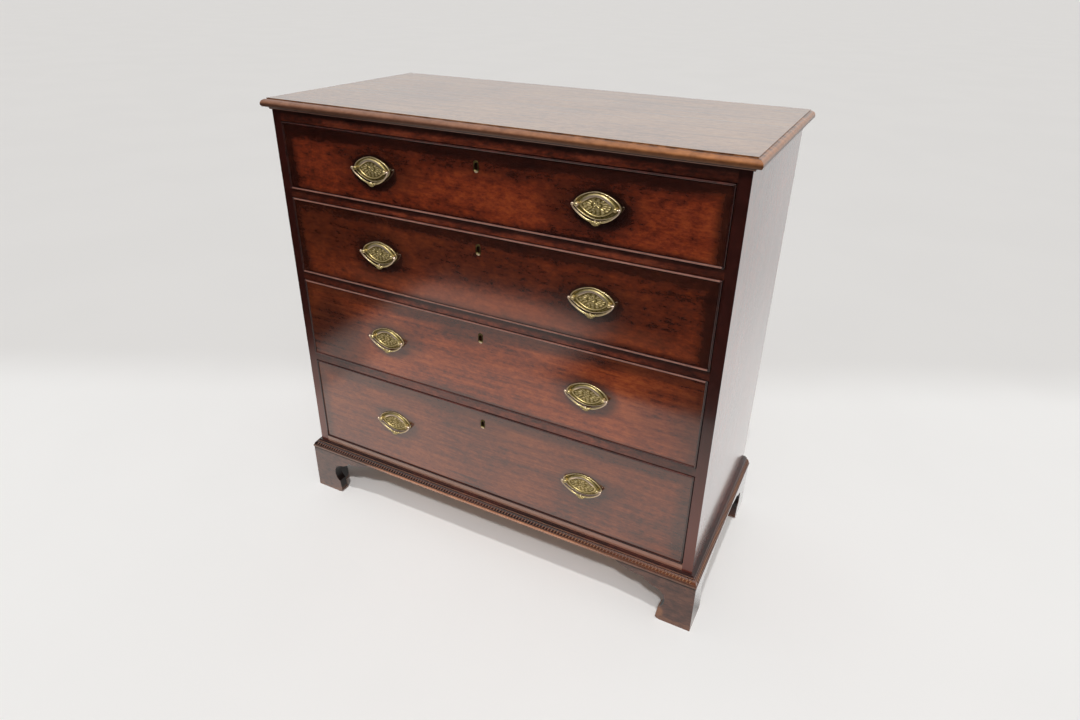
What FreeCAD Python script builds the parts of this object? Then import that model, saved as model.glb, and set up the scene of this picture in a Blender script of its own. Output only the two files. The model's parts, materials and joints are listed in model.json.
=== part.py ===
# A chest of four long drawers on scrolled bracket feet, with oval handles and cock-beaded fronts.
# Millimetres, +Z up, the front faces -Y, the floor is Z = 0 and the origin is under the middle of the chest.
import FreeCAD, Part
import math
import os
import re
import Sketcher

# Driving sizes, one cell of the sheet each.
SIZES = {
    # carcass boards
    "carcass_width": 874,
    "carcass_depth": 400,
    "side_thickness": 19,
    "housing_depth": 6,
    "housing_setback": 10,
    "back_thickness": 10,
    "back_rebate": 9,
    "bottom_thickness": 16,
    "bottom_rail_height": 32,
    "top_rail_height": 19,
    # divisions between the drawers
    "divider_thickness": 16,
    "divider_depth": 70,
    "runner_width": 35,
    "dust_thickness": 7,
    "dust_groove": 5,
    "stop_width": 30,
    "stop_depth": 20,
    "stop_height": 5,
    "stop_offset": 250,
    # heights of the drawer openings, from the top down
    "first_opening": 126,
    "second_opening": 154,
    "third_opening": 171,
    "fourth_opening": 199,
    # top board and its moulded edge
    "top_thickness": 20,
    "top_overhang": 14,
    "top_rear_overhang": 25,
    "quirk_inset": 9.5,
    "quirk_height": 2,
    "nose_height": 10,
    "nose_top_radius": 8.8,
    "nose_foot_radius": 7,
    "nose_foot_inset": 2.2,
    "cove_inset": 5.5,
    "cove_foot_inset": 11,
    "cove_height": 5,
    "cove_radius": 5.5,
    # base moulding
    "base_projection": 15,
    "base_height": 18.5,
    "base_fascia": 4.2,
    "base_step": 1.5,
    "base_band_radius": 12,
    "base_band_inset": 7,
    "base_quirk": 1.5,
    "base_bead_radius": 1.9,
    "base_bead_height": 3,
    "base_cap_projection": 4.5,
    "base_cap_height": 2.1,
    # bracket feet
    "foot_height": 108,
    "foot_thickness": 19,
    "foot_inset": 1,
    "foot_length": 158,
    "foot_sole": 61,
    "foot_toe": 68,
    "foot_toe_height": 5,
    "foot_neck_drop": 21,
    "foot_scroll_reach": 80,
    "foot_scroll_radius": 26,
    "foot_scroll_drop": 30,
    "foot_cusp_reach": 94,
    "foot_cusp_drop": 23,
    "foot_step_reach": 99,
    "foot_step_drop": 16,
    "foot_wing_radius": 110,
    "rear_bracket_sole": 50,
    "rear_bracket_length": 110,
    "foot_block_width": 28,
    "foot_block_lift": 3,
    # drawer boxes
    "drawer_rear_gap": 15,
    "drawer_side_gap": 1,
    "drawer_top_gap": 1.2,
    "front_bottom_gap": 0.5,
    "front_thickness": 20,
    "front_lap": 6,
    "bead_width": 3.2,
    "bead_proud": 2.4,
    "lining_thickness": 10,
    "drawer_back_thickness": 9,
    "drawer_bottom_thickness": 6,
    "bottom_groove": 5,
    "bottom_lift": 10,
    "side_drop": 3,
    "back_drop": 5,
    # locks and keyholes
    "lock_width": 64,
    "lock_height": 42,
    "lock_depth": 12,
    "lock_wall": 2,
    "bolt_width": 26,
    "bolt_thickness": 6,
    "bolt_height": 18,
    "bolt_throw": 8,
    "bolt_clearance": 0.4,
    "keyhole_drop": 31,
    "keyhole_radius": 2.2,
    "keyhole_slot_width": 2.4,
    "keyhole_slot_length": 8,
    "escutcheon_radius": 5,
    "escutcheon_length": 20,
    "escutcheon_depth": 4,
    "escutcheon_proud": 0.3,
    # handles
    "handle_offset": 215,
    "low_handle_raise": 6,
    "plate_length": 79,
    "plate_height": 44,
    "plate_gauge": 1,
    "plate_border": 3.5,
    "plate_step": 1.2,
    "dome_inset": 11.5,
    "dome_edge_run": 1.5,
    "dome_edge_rise": 2,
    "dome_run": 4.5,
    "dome_rise": 2.8,
    "post_spacing": 64,
    "pivot_standoff": 8,
    "stem_radius": 2.2,
    "stem_clearance": 0.3,
    "collar_radius": 3.2,
    "collar_height": 1.2,
    "head_radius": 3.6,
    "nut_radius": 6,
    "nut_thickness": 3.5,
    "bail_drop": 24.5,
    "bail_radius": 1.9,
    "bail_turn_radius": 15,
    "bail_knob_radius": 2.6,
    "bail_gap": 0.5,
    "bail_pin_radius": 1.3,
    "pin_clearance": 0.08,
    "bail_neck": 3.5,
    "drop_radius": 5.3,
    "drop_end_radius": 2.3,
    # how far a cutting tool runs past what it cuts
    "overrun": 1,
}

# Places that follow from the driving sizes.
DERIVED = {
    "half_width": "carcass_width / 2",
    "inner_half": "half_width - side_thickness",
    "front_plane": "(base_projection - carcass_depth - top_rear_overhang) / 2",
    "rear_plane": "front_plane + carcass_depth",
    "back_face": "rear_plane - back_thickness",
    "divider_back": "front_plane + divider_depth",
    "fourth_level": "foot_height + bottom_rail_height",
    "third_level": "fourth_level + fourth_opening + divider_thickness",
    "second_level": "third_level + third_opening + divider_thickness",
    "first_level": "second_level + second_opening + divider_thickness",
    "opening_top": "first_level + first_opening",
    "carcass_top": "opening_top + top_rail_height",
    "top_length": "carcass_width + 2 * top_overhang",
    "top_depth": "top_overhang + carcass_depth + top_rear_overhang",
    "foot_half": "half_width + base_projection - foot_inset",
    "foot_front": "front_plane - base_projection + foot_inset",
    "drawer_half": "inner_half - drawer_side_gap",
    "lap_plane": "front_plane + front_lap",
    "front_back": "front_plane + front_thickness",
    "lock_face": "front_back - lock_depth",
    "bolt_face": "lock_face + lock_wall",
    "drawer_rear": "back_face - drawer_rear_gap",
    "rear_shoulder": "drawer_rear - drawer_back_thickness",
    "plate_rise": "plate_gauge + plate_step",
    "post_half": "post_spacing / 2",
    "bail_half": "post_half + head_radius + bail_gap + bail_knob_radius",
    "bow_drop": "bail_drop - bail_neck",
    "drop_half": "sqrt(drop_radius ^ 2 - drop_end_radius ^ 2)",
    "turn_reach": "bail_half - bail_turn_radius - drop_half",
    "bow_rise": "bow_drop - bail_turn_radius",
    "sweep_radius": "(turn_reach ^ 2 + bow_drop ^ 2 - bail_turn_radius ^ 2) / (2 * bow_rise)",
    "turn_angle": "atan((sweep_radius - bow_drop) / turn_reach)",
}

# Dovetails: the share of its pitch that a tail takes at its end and at its neck, and the tails at a corner
# of each drawer from the top down.
TAIL_END_SHARE = 0.74
TAIL_NECK_SHARE = 0.52

TAIL_COUNTS = (3, 4, 4, 5)

# Drawers from the top down: the node prefix and the rank in the size names.
DRAWERS = (("drawer_1", "first"), ("drawer_2", "second"), ("drawer_3", "third"), ("drawer_4", "fourth"))
BACK_BOARD_COUNT = 4
NUT_SIDES = 6

LEFT, RIGHT = -1, 1
X_AXIS = FreeCAD.Vector(1, 0, 0)
Y_AXIS = FreeCAD.Vector(0, 1, 0)
Z_AXIS = FreeCAD.Vector(0, 0, 1)
# A sketch turned to lie across a run along X, and one turned to stand facing the front.
ACROSS_RUN = FreeCAD.Rotation(Y_AXIS, Z_AXIS, X_AXIS, "ZXY")
UPRIGHT = FreeCAD.Rotation(X_AXIS, 90)
ALONG_X = FreeCAD.Rotation(Y_AXIS, 90)
STANDING = FreeCAD.Rotation()

doc = FreeCAD.newDocument("ChestOfDrawers")
sheet = doc.addObject("Spreadsheet::Sheet", "dims")
for row, (alias, size) in enumerate(SIZES.items(), start=1):
    sheet.set(f"A{row}", alias)
    sheet.set(f"B{row}", str(size))
    sheet.setAlias(f"B{row}", alias)
doc.recompute()
nodes = []


def ex(text):
    """Writes a size in terms of the sheet's cells."""
    def swap(match):
        word = match.group()
        if word in SIZES:
            return "dims." + word
        return f"({ex(DERIVED[word])})" if word in DERIVED else word
    return re.sub("[a-z_]+", swap, text)


def value(text):
    """The present value of a size, for a sketch's first guess."""
    result = sheet.evalExpression(ex(text))
    return float(getattr(result, "Value", result))


def bind(item, **texts):
    for name, text in texts.items():
        item.setExpression(name, ex(text))
    return item


def place(item, x, y, z, rotation=STANDING):
    item.Placement = FreeCAD.Placement(FreeCAD.Vector(), rotation)
    for axis, text in zip("xyz", (x, y, z)):
        item.setExpression(f"Placement.Base.{axis}", ex(text))
    return item


def node(item, label):
    """Names a finished sub-part: its label is its file's name."""
    item.Label = label
    nodes.append(item)


def both_ways(half):
    return f"-({half})", half


def across(side, near, far):
    """The span from near to far of the middle plane, on the left or on the right."""
    return (near, far) if side == RIGHT else (f"-({far})", f"-({near})")


def box(name, x, y, z):
    """A block between a low and a high plane along each axis."""
    block = doc.addObject("Part::Box", name)
    for size, axis, (low, high) in zip(("Length", "Width", "Height"), "xyz", (x, y, z)):
        block.setExpression(size, ex(f"({high}) - ({low})"))
        block.setExpression(f"Placement.Base.{axis}", ex(low))
    return block


def wedge(name, y, near, far):
    """A block along Y that goes from its near section to its far one, each a span in X and a span in Z."""
    block = doc.addObject("Part::Wedge", name)
    bind(block, Ymin=y[0], Ymax=y[1])
    bind(block, Xmin=near[0][0], Xmax=near[0][1], Zmin=near[1][0], Zmax=near[1][1])
    return bind(block, X2min=far[0][0], X2max=far[0][1], Z2min=far[1][0], Z2max=far[1][1])


def cylinder(name, radius, length, x, y, z, rotation):
    return place(bind(doc.addObject("Part::Cylinder", name), Radius=radius, Height=length), x, y, z, rotation)


def sphere(name, radius, x, y, z, rotation=STANDING):
    return place(bind(doc.addObject("Part::Sphere", name), Radius=radius), x, y, z, rotation)


def cut(name, base, *tools):
    for tool in tools:
        result = doc.addObject("Part::Cut", name)
        result.Base = base
        result.Tool = tool
        base = result
    return base


def fuse(name, *shapes):
    result = doc.addObject("Part::MultiFuse", name)
    result.Shapes = list(shapes)
    result.Refine = True
    return result


def common(name, first, second):
    result = doc.addObject("Part::Common", name)
    result.Base = first
    result.Tool = second
    return result


def group(name, *shapes):
    result = doc.addObject("Part::Compound", name)
    result.Links = list(shapes)
    return result


def copy_at(name, source, x, y, z):
    return place(group(name, source), x, y, z)


def mirrored(name, source):
    """The same piece on the other side of the middle plane."""
    result = doc.addObject("Part::Mirroring", name)
    result.Source = source
    result.Normal = X_AXIS
    return result


def extruded(name, outline, forward, backward="0"):
    bar = doc.addObject("Part::Extrusion", name)
    bar.Base = outline
    bar.DirMode = "Normal"
    bar.Solid = True
    return bind(bar, LengthFwd=forward, LengthRev=backward)


def arc_between(start, stop, radius, turn):
    """The short arc from start to stop, turning left where turn is 1 and right where it is -1."""
    chord = stop - start
    middle = (start + stop) / 2
    rise = max(radius ** 2 - (chord.Length / 2) ** 2, 0) ** 0.5
    centre = middle + FreeCAD.Vector(-chord.y, chord.x, 0).normalize() * rise * turn
    spokes = (start - centre, stop - centre) if turn == 1 else (stop - centre, start - centre)
    angles = [math.atan2(spoke.y, spoke.x) for spoke in spokes]
    return Part.ArcOfCircle(Part.Circle(centre, Z_AXIS, radius), *angles)


def outline(name, corners, closed=True):
    """A sketch through its corners, (u, v) each, with (radius, turn) added where an arc leaves the corner."""
    sketch = doc.addObject("Sketcher::SketchObject", name)
    points = [FreeCAD.Vector(value(corner[0]), value(corner[1]), 0) for corner in corners]
    count = len(corners) if closed else len(corners) - 1
    ends = []
    for index in range(count):
        start, stop = points[index], points[(index + 1) % len(points)]
        curve = corners[index][2:]
        if curve:
            sketch.addGeometry(arc_between(start, stop, value(curve[0]), curve[1]))
            radius = sketch.addConstraint(Sketcher.Constraint("Radius", index, value(curve[0])))
            sketch.setExpression(f"Constraints[{radius}]", ex(curve[0]))
        else:
            sketch.addGeometry(Part.LineSegment(start, stop))
        ends.append((2, 1) if curve and curve[1] == -1 else (1, 2))
    for index in range(count if closed else count - 1):
        after = (index + 1) % count
        sketch.addConstraint(Sketcher.Constraint("Coincident", index, ends[index][1], after, ends[after][0]))
    for index, (u, v, *_) in enumerate(corners):
        spot = (index, ends[index][0]) if index < count else (count - 1, ends[-1][1])
        for kind, text in (("DistanceX", u), ("DistanceY", v)):
            distance = sketch.addConstraint(Sketcher.Constraint(kind, -1, 1, *spot, value(text)))
            sketch.setExpression(f"Constraints[{distance}]", ex(text))
    return sketch


def far_end(corners, width):
    """A moulded end mirrored to the far side of a section of that width."""
    curves = [corner[2:] for corner in corners]
    points = [(f"{width} - ({u})", v) for u, v, *_ in corners]
    return [point + curve for point, curve in zip(reversed(points), curves[-2::-1] + [()])]


def mitred(name, blank, near, far, reach, rise):
    """Trims a run along X to its mitres: near and far are its spans at Y = 0 and at Y = reach."""
    height = ("-overrun", f"{rise} + overrun")
    return common(name, blank, wedge(f"{name}_ends", ("0", reach), (near, height), (far, height)))


def along(item, y_way, z_way, x, y, z):
    """Stands a run so that its local Y and Z point the given ways."""
    return place(item, x, y, z, FreeCAD.Rotation(y_way.cross(z_way), y_way, z_way, "ZXY"))


def make_top():
    """The top board: its long section and its end section meet in mitred corners."""
    edge = [
        ("quirk_inset", "top_thickness"),
        ("quirk_inset", "top_thickness - quirk_height", "nose_top_radius", 1),
        ("0", "nose_height", "nose_foot_radius", 1),
        ("nose_foot_inset", "cove_height"),
        ("cove_inset", "cove_height", "cove_radius", -1),
        ("cove_foot_inset", "0"),
    ]
    rear = [("top_depth", "0"), ("top_depth", "top_thickness")]
    tip = "front_plane - top_overhang"
    long_section = place(outline("top_long_section", edge + rear), "0", tip, "carcass_top", ACROSS_RUN)
    end_section = outline("top_end_section", edge + far_end(edge, "top_length"))
    place(end_section, "-top_length / 2", tip, "carcass_top", UPRIGHT)
    long_bar = extruded("top_long_bar", long_section, "top_length / 2", "top_length / 2")
    end_bar = extruded("top_end_bar", end_section, "0", "top_depth")
    node(common("top", long_bar, end_bar), "top_board")


def level_span(rank):
    """The height of the division under a drawer."""
    return f"{rank}_level - divider_thickness", f"{rank}_level"


def make_sides():
    """The sides, housed for rails, dividers and runners and rebated for the back."""
    housing_reach = ("inner_half", "inner_half + housing_depth")
    housing_start = "front_plane + housing_setback"
    for side, label in ((LEFT, "left_side"), (RIGHT, "right_side")):
        panel = box(f"{label}_blank", across(side, "inner_half", "half_width"), ("front_plane", "rear_plane"),
                    ("foot_height", "carcass_top"))
        housing = across(side, *housing_reach)
        front_run = (housing_start, "divider_back")
        rebate = across(side, "inner_half", "inner_half + back_rebate")
        tools = [box("back_rebate", rebate, ("back_face", "rear_plane"), ("foot_height", "carcass_top"))]
        for rank in ("first", "second", "third"):
            tools.append(box("runner_housing", housing, (housing_start, "back_face"), level_span(rank)))
        tools.append(box("top_housing", housing, front_run, ("opening_top", "carcass_top")))
        tools.append(box("rail_housing", housing, front_run, ("foot_height", "fourth_level")))
        bottom = ("fourth_level - bottom_thickness", "fourth_level")
        tools.append(box("bottom_housing", housing, ("divider_back", "back_face"), bottom))
        node(cut(f"{label}_panel", panel, *tools), label)


def housed_rail(name, z):
    """A rail across the front whose ends are housed in the sides, out of sight of the front edge."""
    visible = box(f"{name}_front", both_ways("inner_half"), ("front_plane", "divider_back"), z)
    tongue = box(f"{name}_tongue", both_ways("inner_half + housing_depth"),
                 ("front_plane + housing_setback", "divider_back"), z)
    return fuse(name, visible, tongue)


def bolt_mortise(z_low):
    """The hole over a drawer that its lock's bolt rises into."""
    return box("bolt_mortise", both_ways("bolt_width / 2 + bolt_clearance"),
               ("bolt_face - bolt_clearance", "bolt_face + bolt_thickness + bolt_clearance"),
               (f"{z_low} - overrun", f"{z_low} + bolt_throw"))


def make_rails():
    node(cut("top_rail_mortised", housed_rail("top_rail_bar", ("opening_top", "carcass_top")),
             bolt_mortise("opening_top")), "top_rail")
    node(housed_rail("bottom_rail_bar", ("foot_height", "fourth_level")), "bottom_rail")
    node(box("bottom_panel", both_ways("inner_half + housing_depth"), ("divider_back", "back_face"),
             ("fourth_level - bottom_thickness", "fourth_level")), "bottom_board")


def make_divisions():
    """Dividers, runners and dust boards under the upper three drawers, and the kickers over the first."""
    dividers, runners, dust_boards = [], [], []
    for rank in ("first", "second", "third"):
        low, high = level_span(rank)
        dust_low = f"{low} + (divider_thickness - dust_thickness) / 2"
        dust = box(f"{rank}_dust_board", both_ways("inner_half - runner_width + dust_groove"),
                   ("divider_back - dust_groove", "back_face"), (dust_low, f"{dust_low} + dust_thickness"))
        dust_boards.append(dust)
        rail = housed_rail(f"{rank}_divider_bar", (low, high))
        dividers.append(cut(f"{rank}_divider", rail, dust, bolt_mortise(low)))
        for side in (LEFT, RIGHT):
            span = across(side, "inner_half - runner_width", "inner_half + housing_depth")
            bar = box(f"{rank}_runner_bar", span, ("divider_back", "back_face"), (low, high))
            runners.append(cut(f"{rank}_runner", bar, dust))
    for side in (LEFT, RIGHT):
        runners.append(box("kicker", across(side, "inner_half - runner_width", "inner_half"),
                           ("divider_back", "back_face"), ("opening_top", "carcass_top")))
    node(group("dividers", *dividers), "drawer_dividers")
    node(group("runners", *runners), "drawer_runners")
    node(group("dust", *dust_boards), "dust_boards")


def make_stops():
    """Two glued blocks behind each drawer front that set how far it goes in."""
    stops = []
    for _, rank in DRAWERS:
        for side in (LEFT, RIGHT):
            span = across(side, "stop_offset - stop_width / 2", "stop_offset + stop_width / 2")
            stops.append(box("stop", span, ("front_back", "front_back + stop_depth"),
                             (f"{rank}_level", f"{rank}_level + stop_height")))
    node(group("stops", *stops), "drawer_stops")


def make_back():
    low = "-(inner_half + back_rebate)"
    pitch = f"2 * (inner_half + back_rebate) / {BACK_BOARD_COUNT}"
    boards = []
    for index in range(BACK_BOARD_COUNT):
        boards.append(box("back_board", (f"{low} + {index} * {pitch}", f"{low} + {index + 1} * {pitch}"),
                          ("back_face", "rear_plane"), ("foot_height", "carcass_top")))
    node(group("back", *boards), "back_boards")


def make_base_moulding():
    """The base moulding: a front length and two returns, mitred at the front corners."""
    band_top = "base_projection - base_band_inset"
    bead_line = f"{band_top} - base_quirk"
    bead_top = "base_height - base_cap_height"
    bead_foot = f"{bead_top} - base_bead_height"
    section = place(outline("base_section", [
        ("0", "0"),
        ("base_projection", "0"),
        ("base_projection", "base_fascia"),
        ("base_projection - base_step", "base_fascia"),
        ("base_projection - base_step", "base_fascia + base_step", "base_band_radius", 1),
        (band_top, bead_foot),
        (bead_line, bead_foot, "base_bead_radius", 1),
        (bead_line, bead_top),
        ("base_cap_projection", bead_top),
        ("base_cap_projection", "base_height"),
        ("0", "base_height"),
    ]), "0", "0", "0", ACROSS_RUN)
    before, plain, past = "-base_projection", "0", "base_projection"
    runs = (
        ("front_moulding", "carcass_width", before, past, -Y_AXIS, ("half_width", "front_plane")),
        ("right_moulding", "carcass_depth", plain, past, X_AXIS, ("half_width", "rear_plane")),
        ("left_moulding", "carcass_depth", before, plain, -X_AXIS, ("-half_width", "front_plane")),
    )
    lengths = []
    for name, run, start, finish, outward, (x, y) in runs:
        bar = extruded(f"{name}_bar", section, f"{run} + base_projection", "base_projection")
        length = mitred(name, bar, ("0", run), (start, f"{run} + {finish}"), "base_projection", "base_height")
        lengths.append(along(length, outward, Z_AXIS, x, y, "foot_height"))
    node(group("moulding", *lengths), "base_moulding")


def make_feet():
    """Bracket feet: scrolled brackets, mitred at the front corners, and a plain bracket at the back."""
    neck_height = "foot_height - foot_scroll_drop - foot_scroll_radius - foot_neck_drop"
    neck = "foot_scroll_reach - sqrt(foot_scroll_radius ^ 2 - foot_neck_drop ^ 2)"
    scroll = place(outline("foot_scroll", [
        ("0", "0"),
        ("foot_sole", "0"),
        ("foot_toe", "foot_toe_height"),
        (neck, neck_height, "foot_scroll_radius", -1),
        ("foot_scroll_reach", "foot_height - foot_scroll_drop"),
        ("foot_cusp_reach", "foot_height - foot_cusp_drop"),
        ("foot_step_reach", "foot_height - foot_step_drop", "foot_wing_radius", 1),
        ("foot_length", "foot_height"),
        ("0", "foot_height"),
    ]), "0", "0", "0", UPRIGHT)
    plain = place(outline("foot_plain", [
        ("0", "0"),
        ("rear_bracket_sole", "0"),
        ("rear_bracket_length", "foot_height"),
        ("0", "foot_height"),
    ]), "foot_thickness - foot_half", "rear_plane - foot_thickness", "0", UPRIGHT)
    board = extruded("foot_board", scroll, "0", "foot_thickness")
    whole, mitre = ("0", "foot_length"), ("foot_thickness", "foot_length")
    depth = ("foot_thickness", "foot_height")
    inner_face = "foot_thickness - foot_half"
    block_span = (inner_face, f"{inner_face} + foot_block_width")
    block_rise = ("foot_block_lift", "foot_height")

    front_bracket = along(mitred("front_bracket", board, whole, mitre, *depth), Y_AXIS, Z_AXIS,
                          "-foot_half", "foot_front", "0")
    side_bracket = along(mitred("side_bracket", board, mitre, whole, *depth), -X_AXIS, Z_AXIS,
                         inner_face, "foot_front", "0")
    inside = "foot_front + foot_thickness"
    front_block = box("front_block", block_span, (inside, f"{inside} + foot_block_width"), block_rise)
    front_foot = group("front_foot", front_bracket, side_bracket, front_block)

    rear_side = along(mitred("rear_side_bracket", board, whole, whole, *depth), X_AXIS, Z_AXIS,
                      "-foot_half", "rear_plane", "0")
    rear_plain = extruded("rear_bracket", plain, "0", "foot_thickness")
    behind = "rear_plane - foot_thickness"
    rear_block = box("rear_block", block_span, (f"{behind} - foot_block_width", behind), block_rise)
    rear_foot = group("rear_foot", rear_side, rear_plain, rear_block)

    for place_name, foot in (("front", front_foot), ("rear", rear_foot)):
        node(foot, f"{place_name}_left_foot")
        node(mirrored(f"{place_name}_foot_mirrored", foot), f"{place_name}_right_foot")


def keyhole_shape():
    """The key's way in, from the drawer face to the inside of the lock, about the keyhole's centre."""
    start = "-escutcheon_proud - overrun"
    stop = "front_thickness - lock_depth + lock_wall"
    barrel = cylinder("keyhole_barrel", "keyhole_radius", f"{stop} - ({start})", "0", stop, "0", UPRIGHT)
    slot = box("keyhole_slot", both_ways("keyhole_slot_width / 2"), (start, stop),
               ("-keyhole_slot_length", "0"))
    return fuse("keyhole", barrel, slot)


def escutcheon_shape():
    """The escutcheon's outside: a slot with round ends, let into the drawer face."""
    length = "escutcheon_depth + escutcheon_proud"
    half = "escutcheon_length / 2 - escutcheon_radius"
    ends = [cylinder("escutcheon_end", "escutcheon_radius", length, "0", "escutcheon_depth", height, UPRIGHT)
            for height in both_ways(half)]
    middle = box("escutcheon_middle", both_ways("escutcheon_radius"),
                 ("-escutcheon_proud", "escutcheon_depth"), both_ways(half))
    return fuse("escutcheon_blank", middle, *ends)


def stem_hole(name, radius, x):
    """A round hole through plate and drawer front, about the middle of a handle."""
    length = "front_thickness + plate_rise + 2 * overrun"
    return cylinder(name, radius, length, x, "front_thickness + overrun", "0", UPRIGHT)


def oval(name, shrink, rise):
    """An oval line facing the front, that much inside the plate's rim and that far off the drawer face."""
    line = doc.addObject("Part::Ellipse", name)
    bind(line, MajorRadius=f"plate_length / 2 - ({shrink})", MinorRadius=f"plate_height / 2 - ({shrink})")
    return place(line, "0", f"-({rise})", "0", UPRIGHT)


def oval_layer(name, shrinks, rises):
    """A layer of the plate whose edge runs straight from one oval to the next."""
    layer = doc.addObject("Part::Loft", name)
    layer.Sections = [oval(f"{name}_line", shrink, rise) for shrink, rise in zip(shrinks, rises)]
    layer.Solid = True
    layer.Ruled = True
    return layer


def handle_plate():
    """The stamped backplate: a rim, a raised oval field and a domed middle."""
    rim = oval_layer("plate_rim", ("0", "0"), ("0", "plate_gauge"))
    field = oval_layer("plate_field", ("plate_border", "plate_border"), ("0", "plate_rise"))
    dome_lines = ("dome_inset", "dome_inset + dome_edge_run", "dome_inset + dome_run")
    dome_rises = ("0", "plate_rise + dome_edge_rise", "plate_rise + dome_rise")
    dome = oval_layer("plate_dome", dome_lines, dome_rises)
    holes = [stem_hole("plate_hole", "stem_radius + stem_clearance", x) for x in both_ways("post_half")]
    return cut("plate", fuse("plate_blank", rim, field, dome), *holes)


def handle_post(x):
    """A post with its collar and eye, and the nut that draws it tight behind the drawer front."""
    end = "front_thickness + nut_thickness"
    stem = cylinder("post_stem", "stem_radius", f"{end} + pivot_standoff", x, end, "0", UPRIGHT)
    collar = cylinder("post_collar", "collar_radius", "collar_height", x, "-plate_rise", "0", UPRIGHT)
    head = sphere("post_head", "head_radius", x, "-pivot_standoff", "0")
    eye_start = f"{x} - head_radius - overrun"
    eye = cylinder("post_eye", "bail_pin_radius + pin_clearance", "2 * (head_radius + overrun)",
                   eye_start, "-pivot_standoff", "0", ALONG_X)
    prism = doc.addObject("Part::Prism", "post_nut_blank")
    prism.Polygon = NUT_SIDES
    place(bind(prism, Circumradius="nut_radius", Height="nut_thickness"), x, end, "0", UPRIGHT)
    nut = cut("post_nut", prism, stem)
    return cut("post", fuse("post_blank", stem, collar, head), eye), nut


def handle_bail():
    """The bail: two bows of tangent arcs that meet in a turned drop, each with a neck, a knob and a pin."""
    turn_end = "bow_drop - bail_turn_radius * sin(turn_angle)"
    turn_out = "drop_half + turn_reach + bail_turn_radius * cos(turn_angle)"
    bow = place(outline("bail_bow", [
        ("0", "bow_drop", "bail_turn_radius", 1),
        (f"bail_half - ({turn_out})", turn_end, "sweep_radius", 1),
        ("bail_half - drop_half", "0"),
    ], closed=False), "-bail_half", "0", "-bail_drop", UPRIGHT)
    ring = bind(doc.addObject("Part::Circle", "bail_ring"), Radius="bail_radius")
    place(ring, "-bail_half", "0", "-bail_neck")
    rod = doc.addObject("Part::Sweep", "bail_rod")
    rod.Sections = [ring]
    rod.Spine = (bow, ["Edge1", "Edge2"])
    rod.Solid = True
    drop = sphere("bail_drop_bead", "drop_radius", "0", "0", "-bail_drop", ALONG_X)
    bind(drop, Angle1="-asin(drop_half / drop_radius)", Angle2="asin(drop_half / drop_radius)")
    pieces = [rod, mirrored("bail_rod_mirrored", rod), drop]
    pin_length = "bail_half - post_half + head_radius / 2"
    for end, pin_start in (("-bail_half", "-bail_half"), ("bail_half", f"bail_half - ({pin_length})")):
        pieces.append(sphere("bail_knob", "bail_knob_radius", end, "0", "0"))
        pieces.append(cylinder("bail_pin", "bail_pin_radius", pin_length, pin_start, "0", "0", ALONG_X))
        pieces.append(cylinder("bail_neck_rod", "bail_radius", "bail_neck", end, "0", "-bail_neck", STANDING))
    return fuse("bail", *pieces)


def make_drawer_box(prefix, rank, tails, hardware_holes):
    """A drawer's front, sides, back and bottom, lap-dovetailed in front and through-dovetailed behind."""
    low = f"{rank}_level"
    front_low = f"{low} + front_bottom_gap"
    front_high = f"{low} + {rank}_opening - drawer_top_gap"
    side_high = f"{front_high} - side_drop"
    panel_high = f"{low} + bottom_lift + drawer_bottom_thickness"
    back_high = f"{side_high} - back_drop"
    panel = box(f"{prefix}_panel", both_ways("drawer_half - lining_thickness + bottom_groove"),
                ("front_back - bottom_groove", "drawer_rear"), (f"{low} + bottom_lift", panel_high))

    def tail_row(span, y, wide_end_first, z_low, z_high):
        pitch = f"(({z_high}) - ({z_low})) / {tails}"
        row = []
        for index in range(tails):
            middle = f"({z_low}) + {index + 0.5} * {pitch}"
            wide, narrow = [(f"{middle} - {share / 2} * {pitch}", f"{middle} + {share / 2} * {pitch}")
                            for share in (TAIL_END_SHARE, TAIL_NECK_SHARE)]
            near, far = (wide, narrow) if wide_end_first else (narrow, wide)
            row.append(wedge(f"{prefix}_tail", y, (span, near), (span, far)))
        return row

    sides, front_tails, rear_tails = [], [], []
    for side in (LEFT, RIGHT):
        span = across(side, "drawer_half - lining_thickness", "drawer_half")
        board = box(f"{prefix}_side_board", span, ("front_back", "rear_shoulder"), (low, side_high))
        heel = box(f"{prefix}_side_heel", span, ("rear_shoulder", "drawer_rear"), (low, panel_high))
        front_row = tail_row(span, ("lap_plane", "front_back"), True, front_low, side_high)
        rear_row = tail_row(span, ("rear_shoulder", "drawer_rear"), False, panel_high, back_high)
        blank = fuse(f"{prefix}_side_blank", board, heel, *front_row, *rear_row)
        sides.append(cut(f"{prefix}_side", blank, panel))
        front_tails += front_row
        rear_tails += rear_row

    face = box(f"{prefix}_face", both_ways("drawer_half - bead_width"), ("front_plane", "lap_plane"),
               (f"{front_low} + bead_width", f"{front_high} - bead_width"))
    backing = box(f"{prefix}_backing", both_ways("drawer_half"), ("lap_plane", "front_back"),
                  (front_low, front_high))
    back = box(f"{prefix}_back_board", both_ways("drawer_half"), ("rear_shoulder", "drawer_rear"),
               (panel_high, back_high))
    sockets = group(f"{prefix}_sockets", *front_tails)
    front_blank = fuse(f"{prefix}_front_blank", face, backing)
    node(cut(f"{prefix}_front_board", front_blank, sockets, panel, *hardware_holes), f"{prefix}_front")
    node(group(f"{prefix}_side_pair", *sides), f"{prefix}_sides")
    node(cut(f"{prefix}_back_cut", back, group(f"{prefix}_rear_sockets", *rear_tails)), f"{prefix}_back")
    node(panel, f"{prefix}_bottom")


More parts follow.
